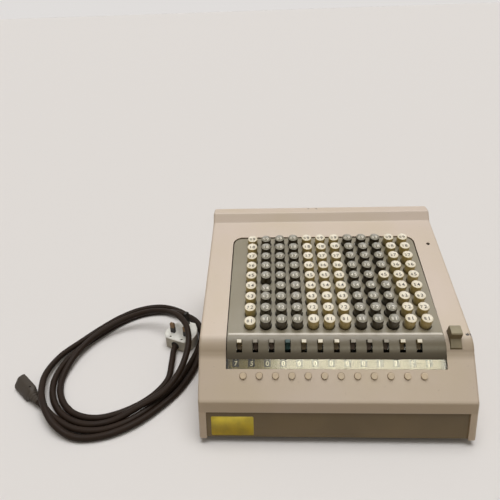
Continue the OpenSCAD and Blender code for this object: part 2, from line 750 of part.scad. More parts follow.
module mains_lead() {
    n = ring_count;
    s = cord_sides;
    echo(lead_self_gap = lead_gap(6 * lead_spans, 10));
    rings = [for (i = [0:n])
        let (p = lead_at(i, n), ahead = unit(lead_at(min(i + 0.2, n), n) - lead_at(max(i - 0.2, 0), n)))
        let (side = unit(cross(ahead, [0, 0, 1])), up = cross(side, ahead))
        for (j = [0:s - 1]) let (a = 360 * (j + 0.5) / s) p + cord_r * (cos(a) * side + sin(a) * up)];
    faces = [for (i = [0:n - 1]) for (j = [0:s - 1]) for (half = [0, 1])
        let (a = i * s + j, b = i * s + (j + 1) % s, c = (i + 1) * s + (j + 1) % s, d = (i + 1) * s + j)
        half == 0 ? [a, c, b] : [a, d, c]];
    color("#2e2722")
        polyhedron(rings, concat(faces, [[for (j = [0:s - 1]) j], [for (j = [s - 1:-1:0]) n * s + j]]));
}

// Connector at the machine's end of the lead: a flat moulding with a tapered relief
module lead_connector() {
    p = lead_line[0];
    w = connector_w / 2;
    back = -relief_len;
    end = back - connector_taper - connector_len;
    color("#3b332b") translate([p[0], p[1], 0]) rotate([0, 0, connector_aim]) difference() {
        union() {
            linear_extrude(connector_h) polygon([
                [back, w - 7], [back, 7 - w], [back - connector_taper, -w], [end, -w],
                [end - 6, 5 - w], [end - 6, w - 5], [end, w], [back - connector_taper, w]
            ]);
            translate([back, 0, connector_mid]) rotate([0, 90, 0])
                cylinder(d1 = 2 * w - 14, d2 = cord_d + 2, h = relief_len - 2 * seat_gap);
        }
        for (y = [-7, 0, 7]) translate([end - 7, y - 1.2, connector_mid - 2.5]) cube([12, 2.4, 5]);
    }
}

// Outline of the plug's body, drawn in by d
module plug_outline(d = 0) {
    w = plug_w / 2;
    offset(delta = -d) polygon([
        [-plug_front / 2, 0], [plug_front / 2, 0], [w, plug_shoulder], [w, plug_len * 0.56],
        [w * 0.75, plug_len * 0.8], [plug_end / 2, plug_len], [-plug_end / 2, plug_len],
        [-w * 0.75, plug_len * 0.8], [-w, plug_len * 0.56], [-w, plug_shoulder]
    ]);
}

module plug_frame() {
    translate([plug_entry[0], plug_entry[1], 0]) rotate([0, 0, plug_turn]) children();
}

// Plug at the wall end: a three pin body lying on its back, with the lead let in at the flat front
module lead_plug() {
    color("#d9d8d0") difference() {
        plug_frame() hull() {
            linear_extrude(1) plug_outline(plug_edge);
            translate([0, 0, plug_edge]) linear_extrude(plug_h - 1.5 * plug_edge) plug_outline();
            translate([0, 0, plug_h - 1]) linear_extrude(1) plug_outline(plug_edge / 2);
        }
        translate(lead_line[lead_spans] + [0, seat_gap, 0]) rotate([90, 0, 0])
            cylinder(d = cord_hole_d, h = plug_front);
        plug_frame() for (side = [-1, 1])
            translate([side * grip_at[0], grip_at[1], plug_h - grip_depth])
                cylinder(d = grip_d, h = grip_depth + 1);
    }
}

// Flat pin with its end bevelled, standing on the plug's face
module plug_pin(at, size) {
    translate([at[0], at[1], plug_h]) hull() {
        linear_extrude(size[2] - pin_bevel) square([size[0], size[1]], center = true);
        linear_extrude(size[2]) square([size[0] - 2 * pin_bevel, size[1] - 2 * pin_bevel], center = true);
    }
}

module lead_plug_pins() {
    color("#b08d57") plug_frame() {
        for (side = [-1, 1]) plug_pin([side * live_at[0], live_at[1]], live_pin);
        plug_pin([0, earth_at], earth_pin);
    }
}

base_pan();
top_cover();
keyboard_plate();
front_fascia();
register_window();
register_mask();
rubber_feet();
foot_screws();
side_frame_left();
side_frame_right();
key_guide_plate();
register_shaft();
lever_shaft();
tie_rods();
drive_motor();
motor_cradle();
power_inlet();
mains_lead();
lead_connector();
lead_plug();
lead_plug_pins();
clear_key();
decimal_buttons();
for (c = [1:key_cols]) key_column(c);
for (l = [1:key_cols]) cutoff_lever(l);
for (w = [1:wheels]) number_wheel(w);
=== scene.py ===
"""Looks of a key-driven desk calculator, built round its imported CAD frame.

Metres, +X right, +Y back, +Z up.
"""

import math

import bmesh
import bpy
from mathutils import Matrix, Vector


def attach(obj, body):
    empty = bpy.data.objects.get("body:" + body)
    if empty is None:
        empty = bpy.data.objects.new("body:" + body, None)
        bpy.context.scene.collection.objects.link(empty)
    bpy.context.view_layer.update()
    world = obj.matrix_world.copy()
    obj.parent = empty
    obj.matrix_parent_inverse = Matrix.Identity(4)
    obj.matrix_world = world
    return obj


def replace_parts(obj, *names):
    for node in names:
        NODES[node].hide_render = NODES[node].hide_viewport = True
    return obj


bl_info = {
    "name": "Key-driven calculator",
    "version": (1, 0, 0),
    "blender": (4, 5, 0),
    "location": "View3D > Sidebar > Calculator",
    "description": "Dresses the CAD frame of a key-driven calculator with its finishes, numerals and lead",
    "category": "Object",
}

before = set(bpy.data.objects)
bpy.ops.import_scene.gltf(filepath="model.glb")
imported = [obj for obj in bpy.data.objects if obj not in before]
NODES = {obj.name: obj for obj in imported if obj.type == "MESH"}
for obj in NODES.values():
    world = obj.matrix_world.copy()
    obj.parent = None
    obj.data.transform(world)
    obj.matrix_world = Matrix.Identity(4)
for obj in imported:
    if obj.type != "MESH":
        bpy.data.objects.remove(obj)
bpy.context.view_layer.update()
MM = 0.001
IMAGE_PX = 500

# Side view of the machine, as in the part's source: slopes in radians, points as (y, z) in millimetres
KEY_SLOPE = math.radians(12)
PANEL_SLOPE = math.radians(46)
FRONT_LEAN = math.radians(16)
GRID = (2.915, 128.849)
ROLL_C = (-74.406, 83.788)
ROLL_R = 28.0
WHEEL_C = (-86.280, 69.785)
PLATE_FOLD = (-80.227, 111.176)
# Middles of the bands of painted shade on the cover: its shoulder and its front lip
SHOULDER_SHADE = (-92.0, 101.0)
LIP_SHADE = (-136.7, 50.0)
FRONT_FOOT = (-148.407, 9.0)

COLUMNS = 12
ROWS = 9
MIDDLE_ROW = 5
WHEELS = 13
COLUMN_PITCH = 19.0
ROW_PITCH = 18.0
FIRST_COLUMN = -100.0
FIRST_WHEEL = -117.5
DARK_COLUMNS = (2, 3, 4, 8, 9, 10)
# Column and row of the key that was once replaced by an ivory one
SPARE_KEY = (10, 5)
# The odd lever, which is green
GREEN_LEVER = 4
# How far some keys stand below the rest, by column and row, in millimetres; a minus stands above them
SUNK_KEYS = {
    (1, 1): 3.9, (2, 4): 5.2, (1, 9): 1.6, (2, 9): 1.4, (3, 9): 0.7, (7, 8): -0.8, (10, 2): 0.5,
}
DIGIT_TURN = math.radians(36)
# What each number wheel shows at rest, in digits; the last two stand between digits
SHOWN_DIGITS = (7, 5, 0, 0, 0, 0, 0, 0, 0, 1, 2, 2.5, 2.55)

# Line of the lead from its connector to its plug, as in the part's source, in millimetres
LEAD_LINE = (
    (-379.5, -95, 8.5), (-369.5, -102.8, 7.2), (-349.5, -118.9, 6.6), (-319.1, -134.2, 5.2),
    (-284.4, -135, 4.4), (-252.8, -120, 4.4), (-227, -94.5, 4.3), (-206.9, -65, 4.4),
    (-193.8, -31.9, 4.4), (-184.5, 3.4, 4.4), (-181.9, 39.7, 4.4), (-200.3, 73, 4.3),
    (-225.9, 97.1, 4.4), (-258.1, 107.5, 4.8), (-291.6, 100.8, 4.7), (-320.4, 80.6, 4.4),
    (-343.9, 53.6, 4.4), (-364.8, 23.8, 4.6), (-382.7, -8.8, 7.2), (-389.2, -44.6, 10),
    (-381.4, -77.7, 14.3), (-366.5, -106.4, 17.1), (-343.8, -132.4, 11.2), (-313.9, -146.3, 5.1),
    (-279.2, -143.3, 4.8), (-247.2, -127.4, 5.8), (-221.2, -102.1, 5), (-199.8, -72.8, 4.4),
    (-186, -41, 5), (-178.4, -8.1, 9.2), (-178.8, 28.9, 13.7), (-192.8, 60.4, 14),
    (-220.9, 82.9, 10.5), (-253.3, 94.9, 5.7), (-286.8, 88.2, 4.5), (-315.4, 67.7, 4.4),
    (-339.2, 40.8, 4.4), (-360.1, 11.3, 4.5), (-373.7, -21.5, 4.6), (-375.3, -56.7, 4.6),
    (-362.7, -89.5, 4.5), (-338.6, -114.8, 4.4), (-306.7, -126.9, 4.4), (-274.2, -121.6, 5.1),
    (-244.2, -104.4, 11.4), (-215.2, -84.3, 17.2), (-197.4, -55.9, 26.3), (-190.7, -21.6, 37.1),
    (-196.2, 10.7, 42.4), (-213.4, 39.3, 41.1), (-239.3, 59.9, 34.5), (-270.5, 67.8, 26.5),
    (-302.7, 60.8, 19.4), (-330.9, 41.5, 14.5), (-350.9, 14.7, 11.6), (-362.1, -17.1, 9.1),
    (-365.3, -53.7, 5.1), (-353.3, -86.3, 4.4), (-328.4, -110.1, 4.4), (-295.9, -117.2, 4.3),
    (-263, -106.1, 4.4), (-235.2, -84.2, 4.4), (-217.8, -54.1, 4.7), (-216.6, -23.6, 8),
    (-217.9, -4.5, 8.4), (-217.7, 6.5, 9), (-217.5, 16.5, 9),
)
# The plug lies in a frame of its own: X across it, Y from its flat front
PLUG_FRONT = (-217.5, 10.5)
PLUG_TURN = math.radians(-23)
PLUG_TOP = 20.0
# Points of the laid lead for each point of its line
CURVE_STEPS = 6
# Settings of a node that multiplies one colour by another
TINT = {"data_type": "RGBA", "blend_type": "MULTIPLY"}


def linear(code):
    """Linear RGBA of an sRGB hex colour."""
    parts = [int(code[i:i + 2], 16) / 255 for i in (1, 3, 5)]
    return tuple(c / 12.92 if c <= 0.04045 else ((c + 0.055) / 1.055) ** 2.4 for c in parts) + (1.0,)


def colour(name, text, code):
    return bpy.props.FloatVectorProperty(
        name=name, description=text, subtype="COLOR", size=4, min=0, max=1, default=linear(code))


def length(name, text, value):
    return bpy.props.FloatProperty(
        name=name, description=text, default=value * MM, min=0, unit="LENGTH", precision=5)


def tilt(name, text, degrees):
    return bpy.props.FloatProperty(
        name=name, description=text, subtype="ANGLE", default=math.radians(degrees))


class CalculatorCamera(bpy.types.PropertyGroup):
    place: bpy.props.FloatVectorProperty(
        name="Place", description="Where the camera stands", subtype="TRANSLATION",
        default=(-0.0720, -0.5071, 0.4876))
    pitch: tilt("Pitch", "How far the camera looks down", 31.23)
    yaw: tilt("Yaw", "How far the camera looks to the right", -3.21)
    roll: tilt("Roll", "How far the camera leans", -2.23)
    focal: bpy.props.FloatProperty(
        name="Focal length", description="Focal length in pixels of the image", default=470.0, min=50)


class CalculatorSizes(bpy.types.PropertyGroup):
    key_numeral: length("Key numeral", "Height of a key's large numeral", 5.2)
    complement: length("Complement", "Height of the small numeral beside it", 4.2)
    wheel_numeral: length("Wheel numeral", "Height of a number wheel's numerals", 6.1)
    ink: length("Ink", "Thickness of painted numerals", 0.05)
    label_w: length("Label width", "Width of the blank label on the fascia", 50)
    label_h: length("Label height", "Height of the blank label on the fascia", 25.2)
    lead: length("Lead", "Diameter of the mains lead", 8.5)


class CalculatorColours(bpy.types.PropertyGroup):
    cover: colour("Cover", "Putty enamel of the cover", "#D0C0B1")
    cover_aged: colour("Aged cover", "Yellowed and handled enamel", "#CCBCA6")
    plate: colour("Plate", "Taupe enamel of the keyboard plate", "#918975")
    plate_worn: colour("Worn plate", "Taupe enamel where it is rubbed", "#81785F")
    fascia: colour("Fascia", "Brown-grey enamel of the front", "#79684B")
    ivory: colour("Ivory", "Top of an ivory key", "#E6DCC4")
    # Each side tone of a key is darker partly from yellowing and partly as painted shade
    ivory_side: colour("Ivory side", "Side of an ivory key, yellowed", "#CCBA7E")
    dark: colour("Dark", "Top of a dark key", "#7D7764")
    dark_side: colour("Dark side", "Side of a dark key", "#443A26")
    green: colour("Green", "The odd green lever", "#1D3A37")
    wheel: colour("Wheel", "Rim of a number wheel", "#0C0B0A")
    light_ink: colour("Light ink", "Numerals on dark pieces", "#F5EFDE")
    dark_ink: colour("Dark ink", "Numerals on ivory keys", "#2A2622")
    mask: colour("Mask", "Mask in front of the wheels", "#766B3F")
    clear_key: colour("Clear key", "Grey-green of the clear key", "#9C937A")
    button: colour("Button", "Decimal buttons", "#D3C0A4")
    lead: colour("Lead", "Sheath of the mains lead", "#261A11")
    plug: colour("Plug", "Plug of the lead", "#DEDDD6")
    label: colour("Label", "Blank label on the fascia", "#E9D24C")
    floor: colour("Floor", "The floor under the machine", "#E0DDDB")


def add(tree, kind, values=None, links=None, **settings):
    """Adds a node with its settings, socket values and links; a node linked from gives its first output."""
    made = tree.nodes.new(kind)
    for key, value in settings.items():
        setattr(made, key, value)
    for key, value in (values or {}).items():
        made.inputs[key].default_value = value
    for key, source in (links or {}).items():
        tree.links.new(source.outputs[0] if hasattr(source, "outputs") else source, made.inputs[key])
    return made


def surface(name, **values):
    """A new material with one Principled shader, whose sockets take the given values."""
    material = bpy.data.materials.new(name)
    material.use_nodes = True
    tree = material.node_tree
    tree.nodes.clear()
    shader = add(tree, "ShaderNodeBsdfPrincipled", {key.replace("_", " "): v for key, v in values.items()})
    add(tree, "ShaderNodeOutputMaterial", links={"Surface": shader})
    return material, tree, shader


def made_once(build):
    """Keeps one material for each name."""
    def get(name, *args, **kwargs):
        return bpy.data.materials.get(name) or build(name, *args, **kwargs)
    return get


def per_mm(size):
    """Texture scale for a pattern whose features are this many millimetres across."""
    return 1 / (size * MM)


def from_line(tree, place, line):
    """Socket with the distance from a line across the machine, at a (y, z) in millimetres."""
    flat = add(tree, "ShaderNodeVectorMath", {1: (0.0, 1.0, 1.0)}, {0: place}, operation="MULTIPLY")
    return add(tree, "ShaderNodeVectorMath", {1: (0.0, line[0] * MM, line[1] * MM)}, {0: flat},
               operation="DISTANCE").outputs["Value"]


@made_once
def enamel(name, tone, aged, roughness, chips=(), shade_bands=()):
    # Stoved enamel on pressed steel: an even satin film, yellowed in broad patches, with a fine orange
    # peel, some specks of dirt, bare dark steel where it is chipped, and painted shade, warm-tinted, in
    # steps of distance and darkness from a line across the machine
    material, tree, shader = surface(name, IOR=1.5)
    place = add(tree, "ShaderNodeTexCoord").outputs["Object"]
    drift = add(tree, "ShaderNodeTexNoise", {"Scale": per_mm(85), "Detail": 3.0}, {"Vector": place})
    share = add(tree, "ShaderNodeMapRange", {1: 0.35, 2: 0.7}, {0: drift})
    tones = add(tree, "ShaderNodeMix", {6: tone, 7: aged}, {0: share}, data_type="RGBA")
    dirt = add(tree, "ShaderNodeTexNoise", {"Scale": per_mm(3), "Detail": 4.0}, {"Vector": place})
    specks = add(tree, "ShaderNodeMapRange", {1: 0.68, 2: 0.78, 3: 0.0, 4: 0.35}, {0: dirt})
    grime = tuple(c * 0.45 for c in aged[:3]) + (1.0,)
    film = add(tree, "ShaderNodeMix", {7: grime}, {0: specks, 6: tones.outputs[2]}, data_type="RGBA")
    wobble = add(tree, "ShaderNodeTexNoise", {"Scale": per_mm(2.5), "Detail": 2.0}, {"Vector": place})
    shift = add(tree, "ShaderNodeVectorMath", {1: (-0.5,) * 3}, {0: wobble.outputs[1]}, operation="ADD")
    jagged = add(tree, "ShaderNodeVectorMath", {1: (4 * MM,) * 3}, {0: shift, 2: place},
                 operation="MULTIPLY_ADD")
    shown = film.outputs[2]
    # Painted shade: each band darkens the film in warm-tinted steps of distance from its line
    for line, shade_steps in shade_bands:
        away = from_line(tree, place, line)
        reach = add(tree, "ShaderNodeMapRange", {1: 0.0, 2: shade_steps[-1][0] * MM}, {0: away})
        steps = add(tree, "ShaderNodeValToRGB", None, {0: reach})
        stops = steps.color_ramp.elements
        while len(stops) < len(shade_steps):
            stops.new(0.5)
        for stop, (distance, dark) in zip(stops, shade_steps):
            stop.position = distance / shade_steps[-1][0]
            stop.color = (dark, dark * (0.88 + 0.12 * dark), dark * (0.66 + 0.34 * dark), 1.0)
        shown = add(tree, "ShaderNodeMix", {0: 1.0}, {6: shown, 7: steps}, **TINT).outputs[2]
    for point, radius in chips:
        away = add(tree, "ShaderNodeVectorMath", {1: tuple(c * MM for c in point)}, {0: jagged},
                   operation="DISTANCE")
        bare = add(tree, "ShaderNodeMath", {1: radius * MM}, {0: away.outputs["Value"]},
                   operation="LESS_THAN")
        shown = add(tree, "ShaderNodeMix", {7: linear("#3A322A")}, {0: bare, 6: shown},
                    data_type="RGBA").outputs[2]
    tree.links.new(shown, shader.inputs["Base Color"])
    polish = add(tree, "ShaderNodeMapRange", {1: 0.3, 2: 0.7, 3: roughness - 0.06, 4: roughness + 0.08},
                 {0: dirt})
    tree.links.new(polish.outputs[0], shader.inputs["Roughness"])
    peel = add(tree, "ShaderNodeTexNoise", {"Scale": per_mm(1.2), "Detail": 1.0}, {"Vector": place})
    bump = add(tree, "ShaderNodeBump", {"Strength": 0.12, "Distance": 0.05 * MM}, {"Height": peel})
    tree.links.new(bump.outputs[0], shader.inputs["Normal"])
    return material


@made_once
def key_resin(name, top, side, coat=0.25, slot_shade=()):
    # Cast resin keys: glossy tops polished by the hands that press them, sides in a tone of their own that
    # is partly yellowing and partly painted shade, with more painted shade towards the plate; a dull dark
    # film painted as the shade inside a roll's slot, given by the roll's line, its radius and the film's
    # tone
    material, tree, shader = surface(name, IOR=1.54, Coat_Weight=coat, Coat_Roughness=0.12)
    place = add(tree, "ShaderNodeTexCoord").outputs["Object"]
    axis = (0.0, -math.sin(KEY_SLOPE), math.cos(KEY_SLOPE))
    normal = add(tree, "ShaderNodeNewGeometry").outputs["Normal"]
    facing = add(tree, "ShaderNodeVectorMath", {1: axis}, {0: normal}, operation="DOT_PRODUCT")
    upper = add(tree, "ShaderNodeMapRange", {1: 0.55, 2: 0.85}, {0: facing.outputs["Value"]})
    # Painted shade: the sides darken towards the plate, to 0.45 at its surface
    lift = add(tree, "ShaderNodeVectorMath", {1: axis}, {0: place}, operation="DOT_PRODUCT")
    base = (GRID[1] * math.cos(KEY_SLOPE) - GRID[0] * math.sin(KEY_SLOPE)) * MM
    plate_shade = add(tree, "ShaderNodeMapRange", {1: base, 2: base + 7 * MM, 3: 0.45, 4: 1.0},
                {0: lift.outputs["Value"]})
    mottle = add(tree, "ShaderNodeTexNoise", {"Scale": per_mm(5), "Detail": 3.0}, {"Vector": place})
    stain = add(tree, "ShaderNodeMapRange", {1: 0.35, 2: 0.7, 3: 0.88, 4: 1.04}, {0: mottle})
    shade = add(tree, "ShaderNodeMath", None, {0: plate_shade, 1: stain}, operation="MULTIPLY")
    skirt = add(tree, "ShaderNodeMix", {0: 1.0, 6: side}, {7: shade}, **TINT)
    face = add(tree, "ShaderNodeMix", {0: 1.0, 6: top}, {7: stain}, **TINT)
    both = add(tree, "ShaderNodeMix", None,
               {0: upper, 6: skirt.outputs[2], 7: face.outputs[2]}, data_type="RGBA")
    shown = both.outputs[2]
    rubbed = add(tree, "ShaderNodeMapRange", {1: 0.35, 2: 0.7, 3: 0.26, 4: 0.4}, {0: mottle}).outputs[0]
    # Painted shade: what lies inside the roll's slot takes the film's dark tone
    if slot_shade:
        line, radius, film = slot_shade
        outside = add(tree, "ShaderNodeMapRange", {1: (radius - 1.5) * MM, 2: (radius + 0.5) * MM},
                      {0: from_line(tree, place, line)}).outputs[0]
        shown = add(tree, "ShaderNodeMix", {6: film}, {0: outside, 7: shown}, data_type="RGBA").outputs[2]
        rubbed = add(tree, "ShaderNodeMix", {2: 0.85}, {0: outside, 3: rubbed}).outputs[0]
    tree.links.new(shown, shader.inputs["Base Color"])
    tree.links.new(rubbed, shader.inputs["Roughness"])
    return material


@made_once
def moulding(name, tone, roughness, grain=1.0, depth=0.03, shine=0.5, side=None):
    # Moulded plastic or rubber: even colour with a faint cloud from the melt, and a fine tool grain; painted
    # shade on its upright faces where a tone is given for them
    material, tree, shader = surface(name, IOR=1.5, Specular_IOR_Level=shine)
    place = add(tree, "ShaderNodeTexCoord").outputs["Object"]
    cloud = add(tree, "ShaderNodeTexNoise", {"Scale": per_mm(14), "Detail": 3.0}, {"Vector": place})
    share = add(tree, "ShaderNodeMapRange", {1: 0.3, 2: 0.7, 3: 0.82, 4: 1.1}, {0: cloud})
    body = add(tree, "ShaderNodeMix", {0: 1.0, 6: tone}, {7: share}, **TINT)
    if side:
        normal = add(tree, "ShaderNodeNewGeometry").outputs["Normal"]
        lie = add(tree, "ShaderNodeSeparateXYZ", None, {0: normal}).outputs["Z"]
        upper = add(tree, "ShaderNodeMapRange", {1: 0.45, 2: 0.85}, {0: lie}).outputs[0]
        tinted = add(tree, "ShaderNodeMix", {6: side, 7: tone}, {0: upper}, data_type="RGBA").outputs[2]
        tree.links.new(tinted, body.inputs[6])
    tree.links.new(body.outputs[2], shader.inputs["Base Color"])
    polish = add(tree, "ShaderNodeMapRange", {1: 0.3, 2: 0.7, 3: roughness - 0.05, 4: roughness + 0.1},
                 {0: cloud})
    tree.links.new(polish.outputs[0], shader.inputs["Roughness"])
    tool = add(tree, "ShaderNodeTexNoise", {"Scale": per_mm(grain), "Detail": 2.0}, {"Vector": place})
    bump = add(tree, "ShaderNodeBump", {"Strength": 0.15, "Distance": depth * MM}, {"Height": tool})
    tree.links.new(bump.outputs[0], shader.inputs["Normal"])
    return material


@made_once
def metal(name, tone, roughness, grain=(0.4, 30, 30)):
    # Bare turned or sheared metal: fine lines along the tool's path and a dull film in patches
    material, tree, shader = surface(name, Metallic=1.0)
    place = add(tree, "ShaderNodeTexCoord").outputs["Object"]
    along = add(tree, "ShaderNodeMapping", {"Scale": tuple(per_mm(g) for g in grain)}, {"Vector": place})
    lines = add(tree, "ShaderNodeTexNoise", {"Scale": 1.0, "Detail": 3.0}, {"Vector": along})
    film = add(tree, "ShaderNodeTexNoise", {"Scale": per_mm(11), "Detail": 3.0}, {"Vector": place})
    dull = add(tree, "ShaderNodeMapRange", {1: 0.35, 2: 0.7, 3: 1.0, 4: 0.7}, {0: film})
    body = add(tree, "ShaderNodeMix", {0: 1.0, 6: tone}, {7: dull}, **TINT)
    tree.links.new(body.outputs[2], shader.inputs["Base Color"])
    polish = add(tree, "ShaderNodeMapRange", {1: 0.3, 2: 0.7, 3: roughness - 0.08, 4: roughness + 0.12},
                 {0: lines})
    tree.links.new(polish.outputs[0], shader.inputs["Roughness"])
    return material


@made_once
def ink(name, tone):
    # Numerals filled with matt paint, a little worn
    material, tree, shader = surface(name, IOR=1.5, Roughness=0.55)
    place = add(tree, "ShaderNodeTexCoord").outputs["Object"]
    wear_and_highlight = add(tree, "ShaderNodeTexNoise", {"Scale": per_mm(0.9), "Detail": 2.0}, {"Vector": place})
    share = add(tree, "ShaderNodeMapRange", {1: 0.3, 2: 0.7, 3: 0.8, 4: 1.05}, {0: wear_and_highlight})
    body = add(tree, "ShaderNodeMix", {0: 1.0, 6: tone}, {7: share}, **TINT)
    tree.links.new(body.outputs[2], shader.inputs["Base Color"])
    return material


@made_once
def acrylic(name):
    # Clear acrylic sheet, polished, with a faint haze in streaks from years of wiping; light passes
    # through it to the wheels
    material, tree, shader = surface(
        name, Base_Color=linear("#F5F4EA"), IOR=1.49, Transmission_Weight=1.0)
    place = add(tree, "ShaderNodeTexCoord").outputs["Object"]
    wiped = add(tree, "ShaderNodeMapping", {"Scale": (per_mm(40), per_mm(3), per_mm(3))}, {"Vector": place})
    hairs = add(tree, "ShaderNodeTexNoise", {"Scale": 1.0, "Detail": 2.0}, {"Vector": wiped})
    haze = add(tree, "ShaderNodeMapRange", {1: 0.35, 2: 0.75, 3: 0.025, 4: 0.05}, {0: hairs})
    tree.links.new(haze.outputs[0], shader.inputs["Roughness"])
    lamp_ray = add(tree, "ShaderNodeLightPath").outputs["Is Shadow Ray"]
    through = add(tree, "ShaderNodeBsdfTransparent", {"Color": linear("#F5F4EA")})
    both = add(tree, "ShaderNodeMixShader", None, {0: lamp_ray, 1: shader, 2: through})
    output = next(n for n in tree.nodes if n.type == "OUTPUT_MATERIAL")
    tree.links.new(both.outputs[0], output.inputs["Surface"])
    return material


def mesh_object(name, bm, material, smooth=40):
    """A new mesh object from bm, shaded smooth up to an angle in degrees."""
    mesh = bpy.data.meshes.new(name)
    bm.normal_update()
    bm.to_mesh(mesh)
    bm.free()
    mesh.shade_smooth()
    mesh.set_sharp_from_angle(angle=math.radians(smooth))
    made = bpy.data.objects.new(name, mesh)
    bpy.context.scene.collection.objects.link(made)
    for each in material if isinstance(material, (list, tuple)) else [material]:
        mesh.materials.append(each)
    return made


def dress(name, material, bevel=0.0):
    """Gives a CAD node its material, and eases its edges where a bevel in millimetres is asked for."""
    node = NODES[name]
    if not node.material_slots:
        node.data.materials.append(material)
    for each in node.material_slots:
        each.link = "OBJECT"
        each.material = material
    weld = node.modifiers.new("weld", "WELD")
    weld.merge_threshold = 0.005 * MM
    if bevel:
        eased = node.modifiers.new("eased", "BEVEL")
        eased.width = bevel * MM
        eased.segments = 3
        eased.limit_method = "ANGLE"
        eased.angle_limit = math.radians(38)
        eased.miter_outer = "MITER_ARC"
    smooth = node.modifiers.new("smooth", "NODES")
    smooth.node_group = smooth_by_angle()
    if bevel:
        flat = node.modifiers.new("flat", "WEIGHTED_NORMAL")
        flat.keep_sharp = True
    return node


def smooth_by_angle():
    """Shades faces smooth, and keeps edges sharper than a limit."""
    name = "smooth_by_angle"
    if name in bpy.data.node_groups:
        return bpy.data.node_groups[name]
    tree = bpy.data.node_groups.new(name, "GeometryNodeTree")
    tree.interface.new_socket("Geometry", in_out="INPUT", socket_type="NodeSocketGeometry")
    tree.interface.new_socket("Geometry", in_out="OUTPUT", socket_type="NodeSocketGeometry")
    source = add(tree, "NodeGroupInput")
    faces = add(tree, "GeometryNodeSetShadeSmooth", None, {"Geometry": source}, domain="FACE")
    angle = add(tree, "GeometryNodeInputMeshEdgeAngle")
    gentle = add(tree, "FunctionNodeCompare", {1: math.radians(32)}, {0: angle},
                 data_type="FLOAT", operation="LESS_THAN")
    edges = add(tree, "GeometryNodeSetShadeSmooth", None,
                {"Geometry": faces, "Shade Smooth": gentle}, domain="EDGE")
    add(tree, "NodeGroupOutput", None, {0: edges})
    return tree


def on_slope(point, slope):
    """Matrix of a slope of the side view: its Z points out of the slope, its Y up along it."""
    return Matrix.Translation((0, point[0] * MM, point[1] * MM)) @ Matrix.Rotation(slope, 4, "X")


def lathe(bm, profile, matrix, segments=40, slot=0):
    """Turns a profile of (radius, height) pairs in millimetres about Z; pairs of radius 0 close it."""
    rings = []
    for radius, height in profile:
        count = 1 if radius == 0 else segments
        rings.append([
            bm.verts.new(matrix @ (Vector((
                radius * math.cos(2 * math.pi * i / segments),
                radius * math.sin(2 * math.pi * i / segments), height)) * MM))
            for i in range(count)])
    for low, high in zip(rings, rings[1:]):
        for i in range(segments):
            corners = [low[i % len(low)], low[(i + 1) % len(low)],
                       high[(i + 1) % len(high)], high[i % len(high)]]
            face = bm.faces.new(list(dict.fromkeys(corners)))
            face.material_index = slot
    return bm


def skin(bm, loops):
    """Joins closed loops of points, one after another, into a solid with both its ends closed."""
    rows = [[bm.verts.new(p) for p in loop] for loop in loops]
    for low, high in zip(rows, rows[1:]):
        for i in range(len(low)):
            bm.faces.new((low[i - 1], low[i], high[i], high[i - 1]))
    for end in (rows[0], rows[-1]):
        bm.faces.new(end)
    bmesh.ops.recalc_face_normals(bm, faces=bm.faces)
    return bm


GLYPHS = {}


def glyph(text, longest, bold):
    """A numeral in Blender's own font: points about its middle, for a height of 1, and its triangles.

    No edge is longer than the given length, so that a numeral can be laid on a round surface.
    """
    if (text, longest, bold) not in GLYPHS:
        font = bpy.data.curves.new("numeral", "FONT")
        font.body = text
        font.resolution_u = 5
        font.offset = bold
        holder = bpy.data.objects.new("numeral", font)
        bpy.context.scene.collection.objects.link(holder)
        bpy.context.view_layer.update()
        flat = holder.evaluated_get(bpy.context.evaluated_depsgraph_get()).to_mesh()
        flat.calc_loop_triangles()
        points = [v.co.to_2d() for v in flat.vertices]
        faces = [tuple(t.vertices) for t in flat.loop_triangles]
        bpy.data.objects.remove(holder)
        bpy.data.curves.remove(font)
        low = Vector((min(p.x for p in points), min(p.y for p in points)))
        high = Vector((max(p.x for p in points), max(p.y for p in points)))
        points = [(p - (low + high) / 2) / (high.y - low.y) for p in points]
        while True:
            edges = [(f[i - 1], f[i]) for f in faces for i in range(3)]
            a, b = max(edges, key=lambda e: (points[e[0]] - points[e[1]]).length)
            if (points[a] - points[b]).length <= longest:
                break
            middle = len(points)
            points.append((points[a] + points[b]) / 2)
            halves = []
            for face in faces:
                ends = (a, b) if a in face and b in face else (None,)
                halves += [tuple(middle if v == end else v for v in face) for end in ends]
            faces = halves
        GLYPHS[text, longest, bold] = points, faces
    return GLYPHS[text, longest, bold]


def numeral(bm, text, height, centre, wrap, bold=0.012):
    """Adds a numeral of this height about centre, laid on a surface by wrap(u, v)."""
    points, faces = glyph(text, 0.22, bold)
    laid = [bm.verts.new(wrap(centre[0] + p.x * height, centre[1] + p.y * height)) for p in points]
    for face in faces:
        bm.faces.new([laid[i] for i in face])


def thicken(piece, thickness):
    """Makes a sheet of paint into a thin solid."""
    solid = piece.modifiers.new("thickness", "SOLIDIFY")
    solid.thickness = thickness
    solid.offset = 1
    return piece


def cut(piece, holes):
    """Cuts the solids of the mesh holes out of a piece for good."""
    drill = mesh_object("drill", holes, [])
    hole = piece.modifiers.new("holes", "BOOLEAN")
    hole.operation = "DIFFERENCE"
    hole.object = drill
    bpy.context.view_layer.update()
    whole, drilled = piece.data, bpy.data.meshes.new_from_object(
        piece.evaluated_get(bpy.context.evaluated_depsgraph_get()))
    piece.modifiers.clear()
    piece.data = drilled
    bpy.data.meshes.remove(whole)
    bpy.data.meshes.remove(drill.data)
    drilled.name = piece.name
    drilled.set_sharp_from_angle(angle=math.radians(40))
    return piece


def between(table, k):
    """Value at k in a table of (place, value) pairs, straight between them and level outside."""
    if k <= table[0][0]:
        return table[0][1]
    for (a, low), (b, high) in zip(table, table[1:]):
        if k <= b:
            return low + (high - low) * (k - a) / (b - a)
    return table[-1][1]


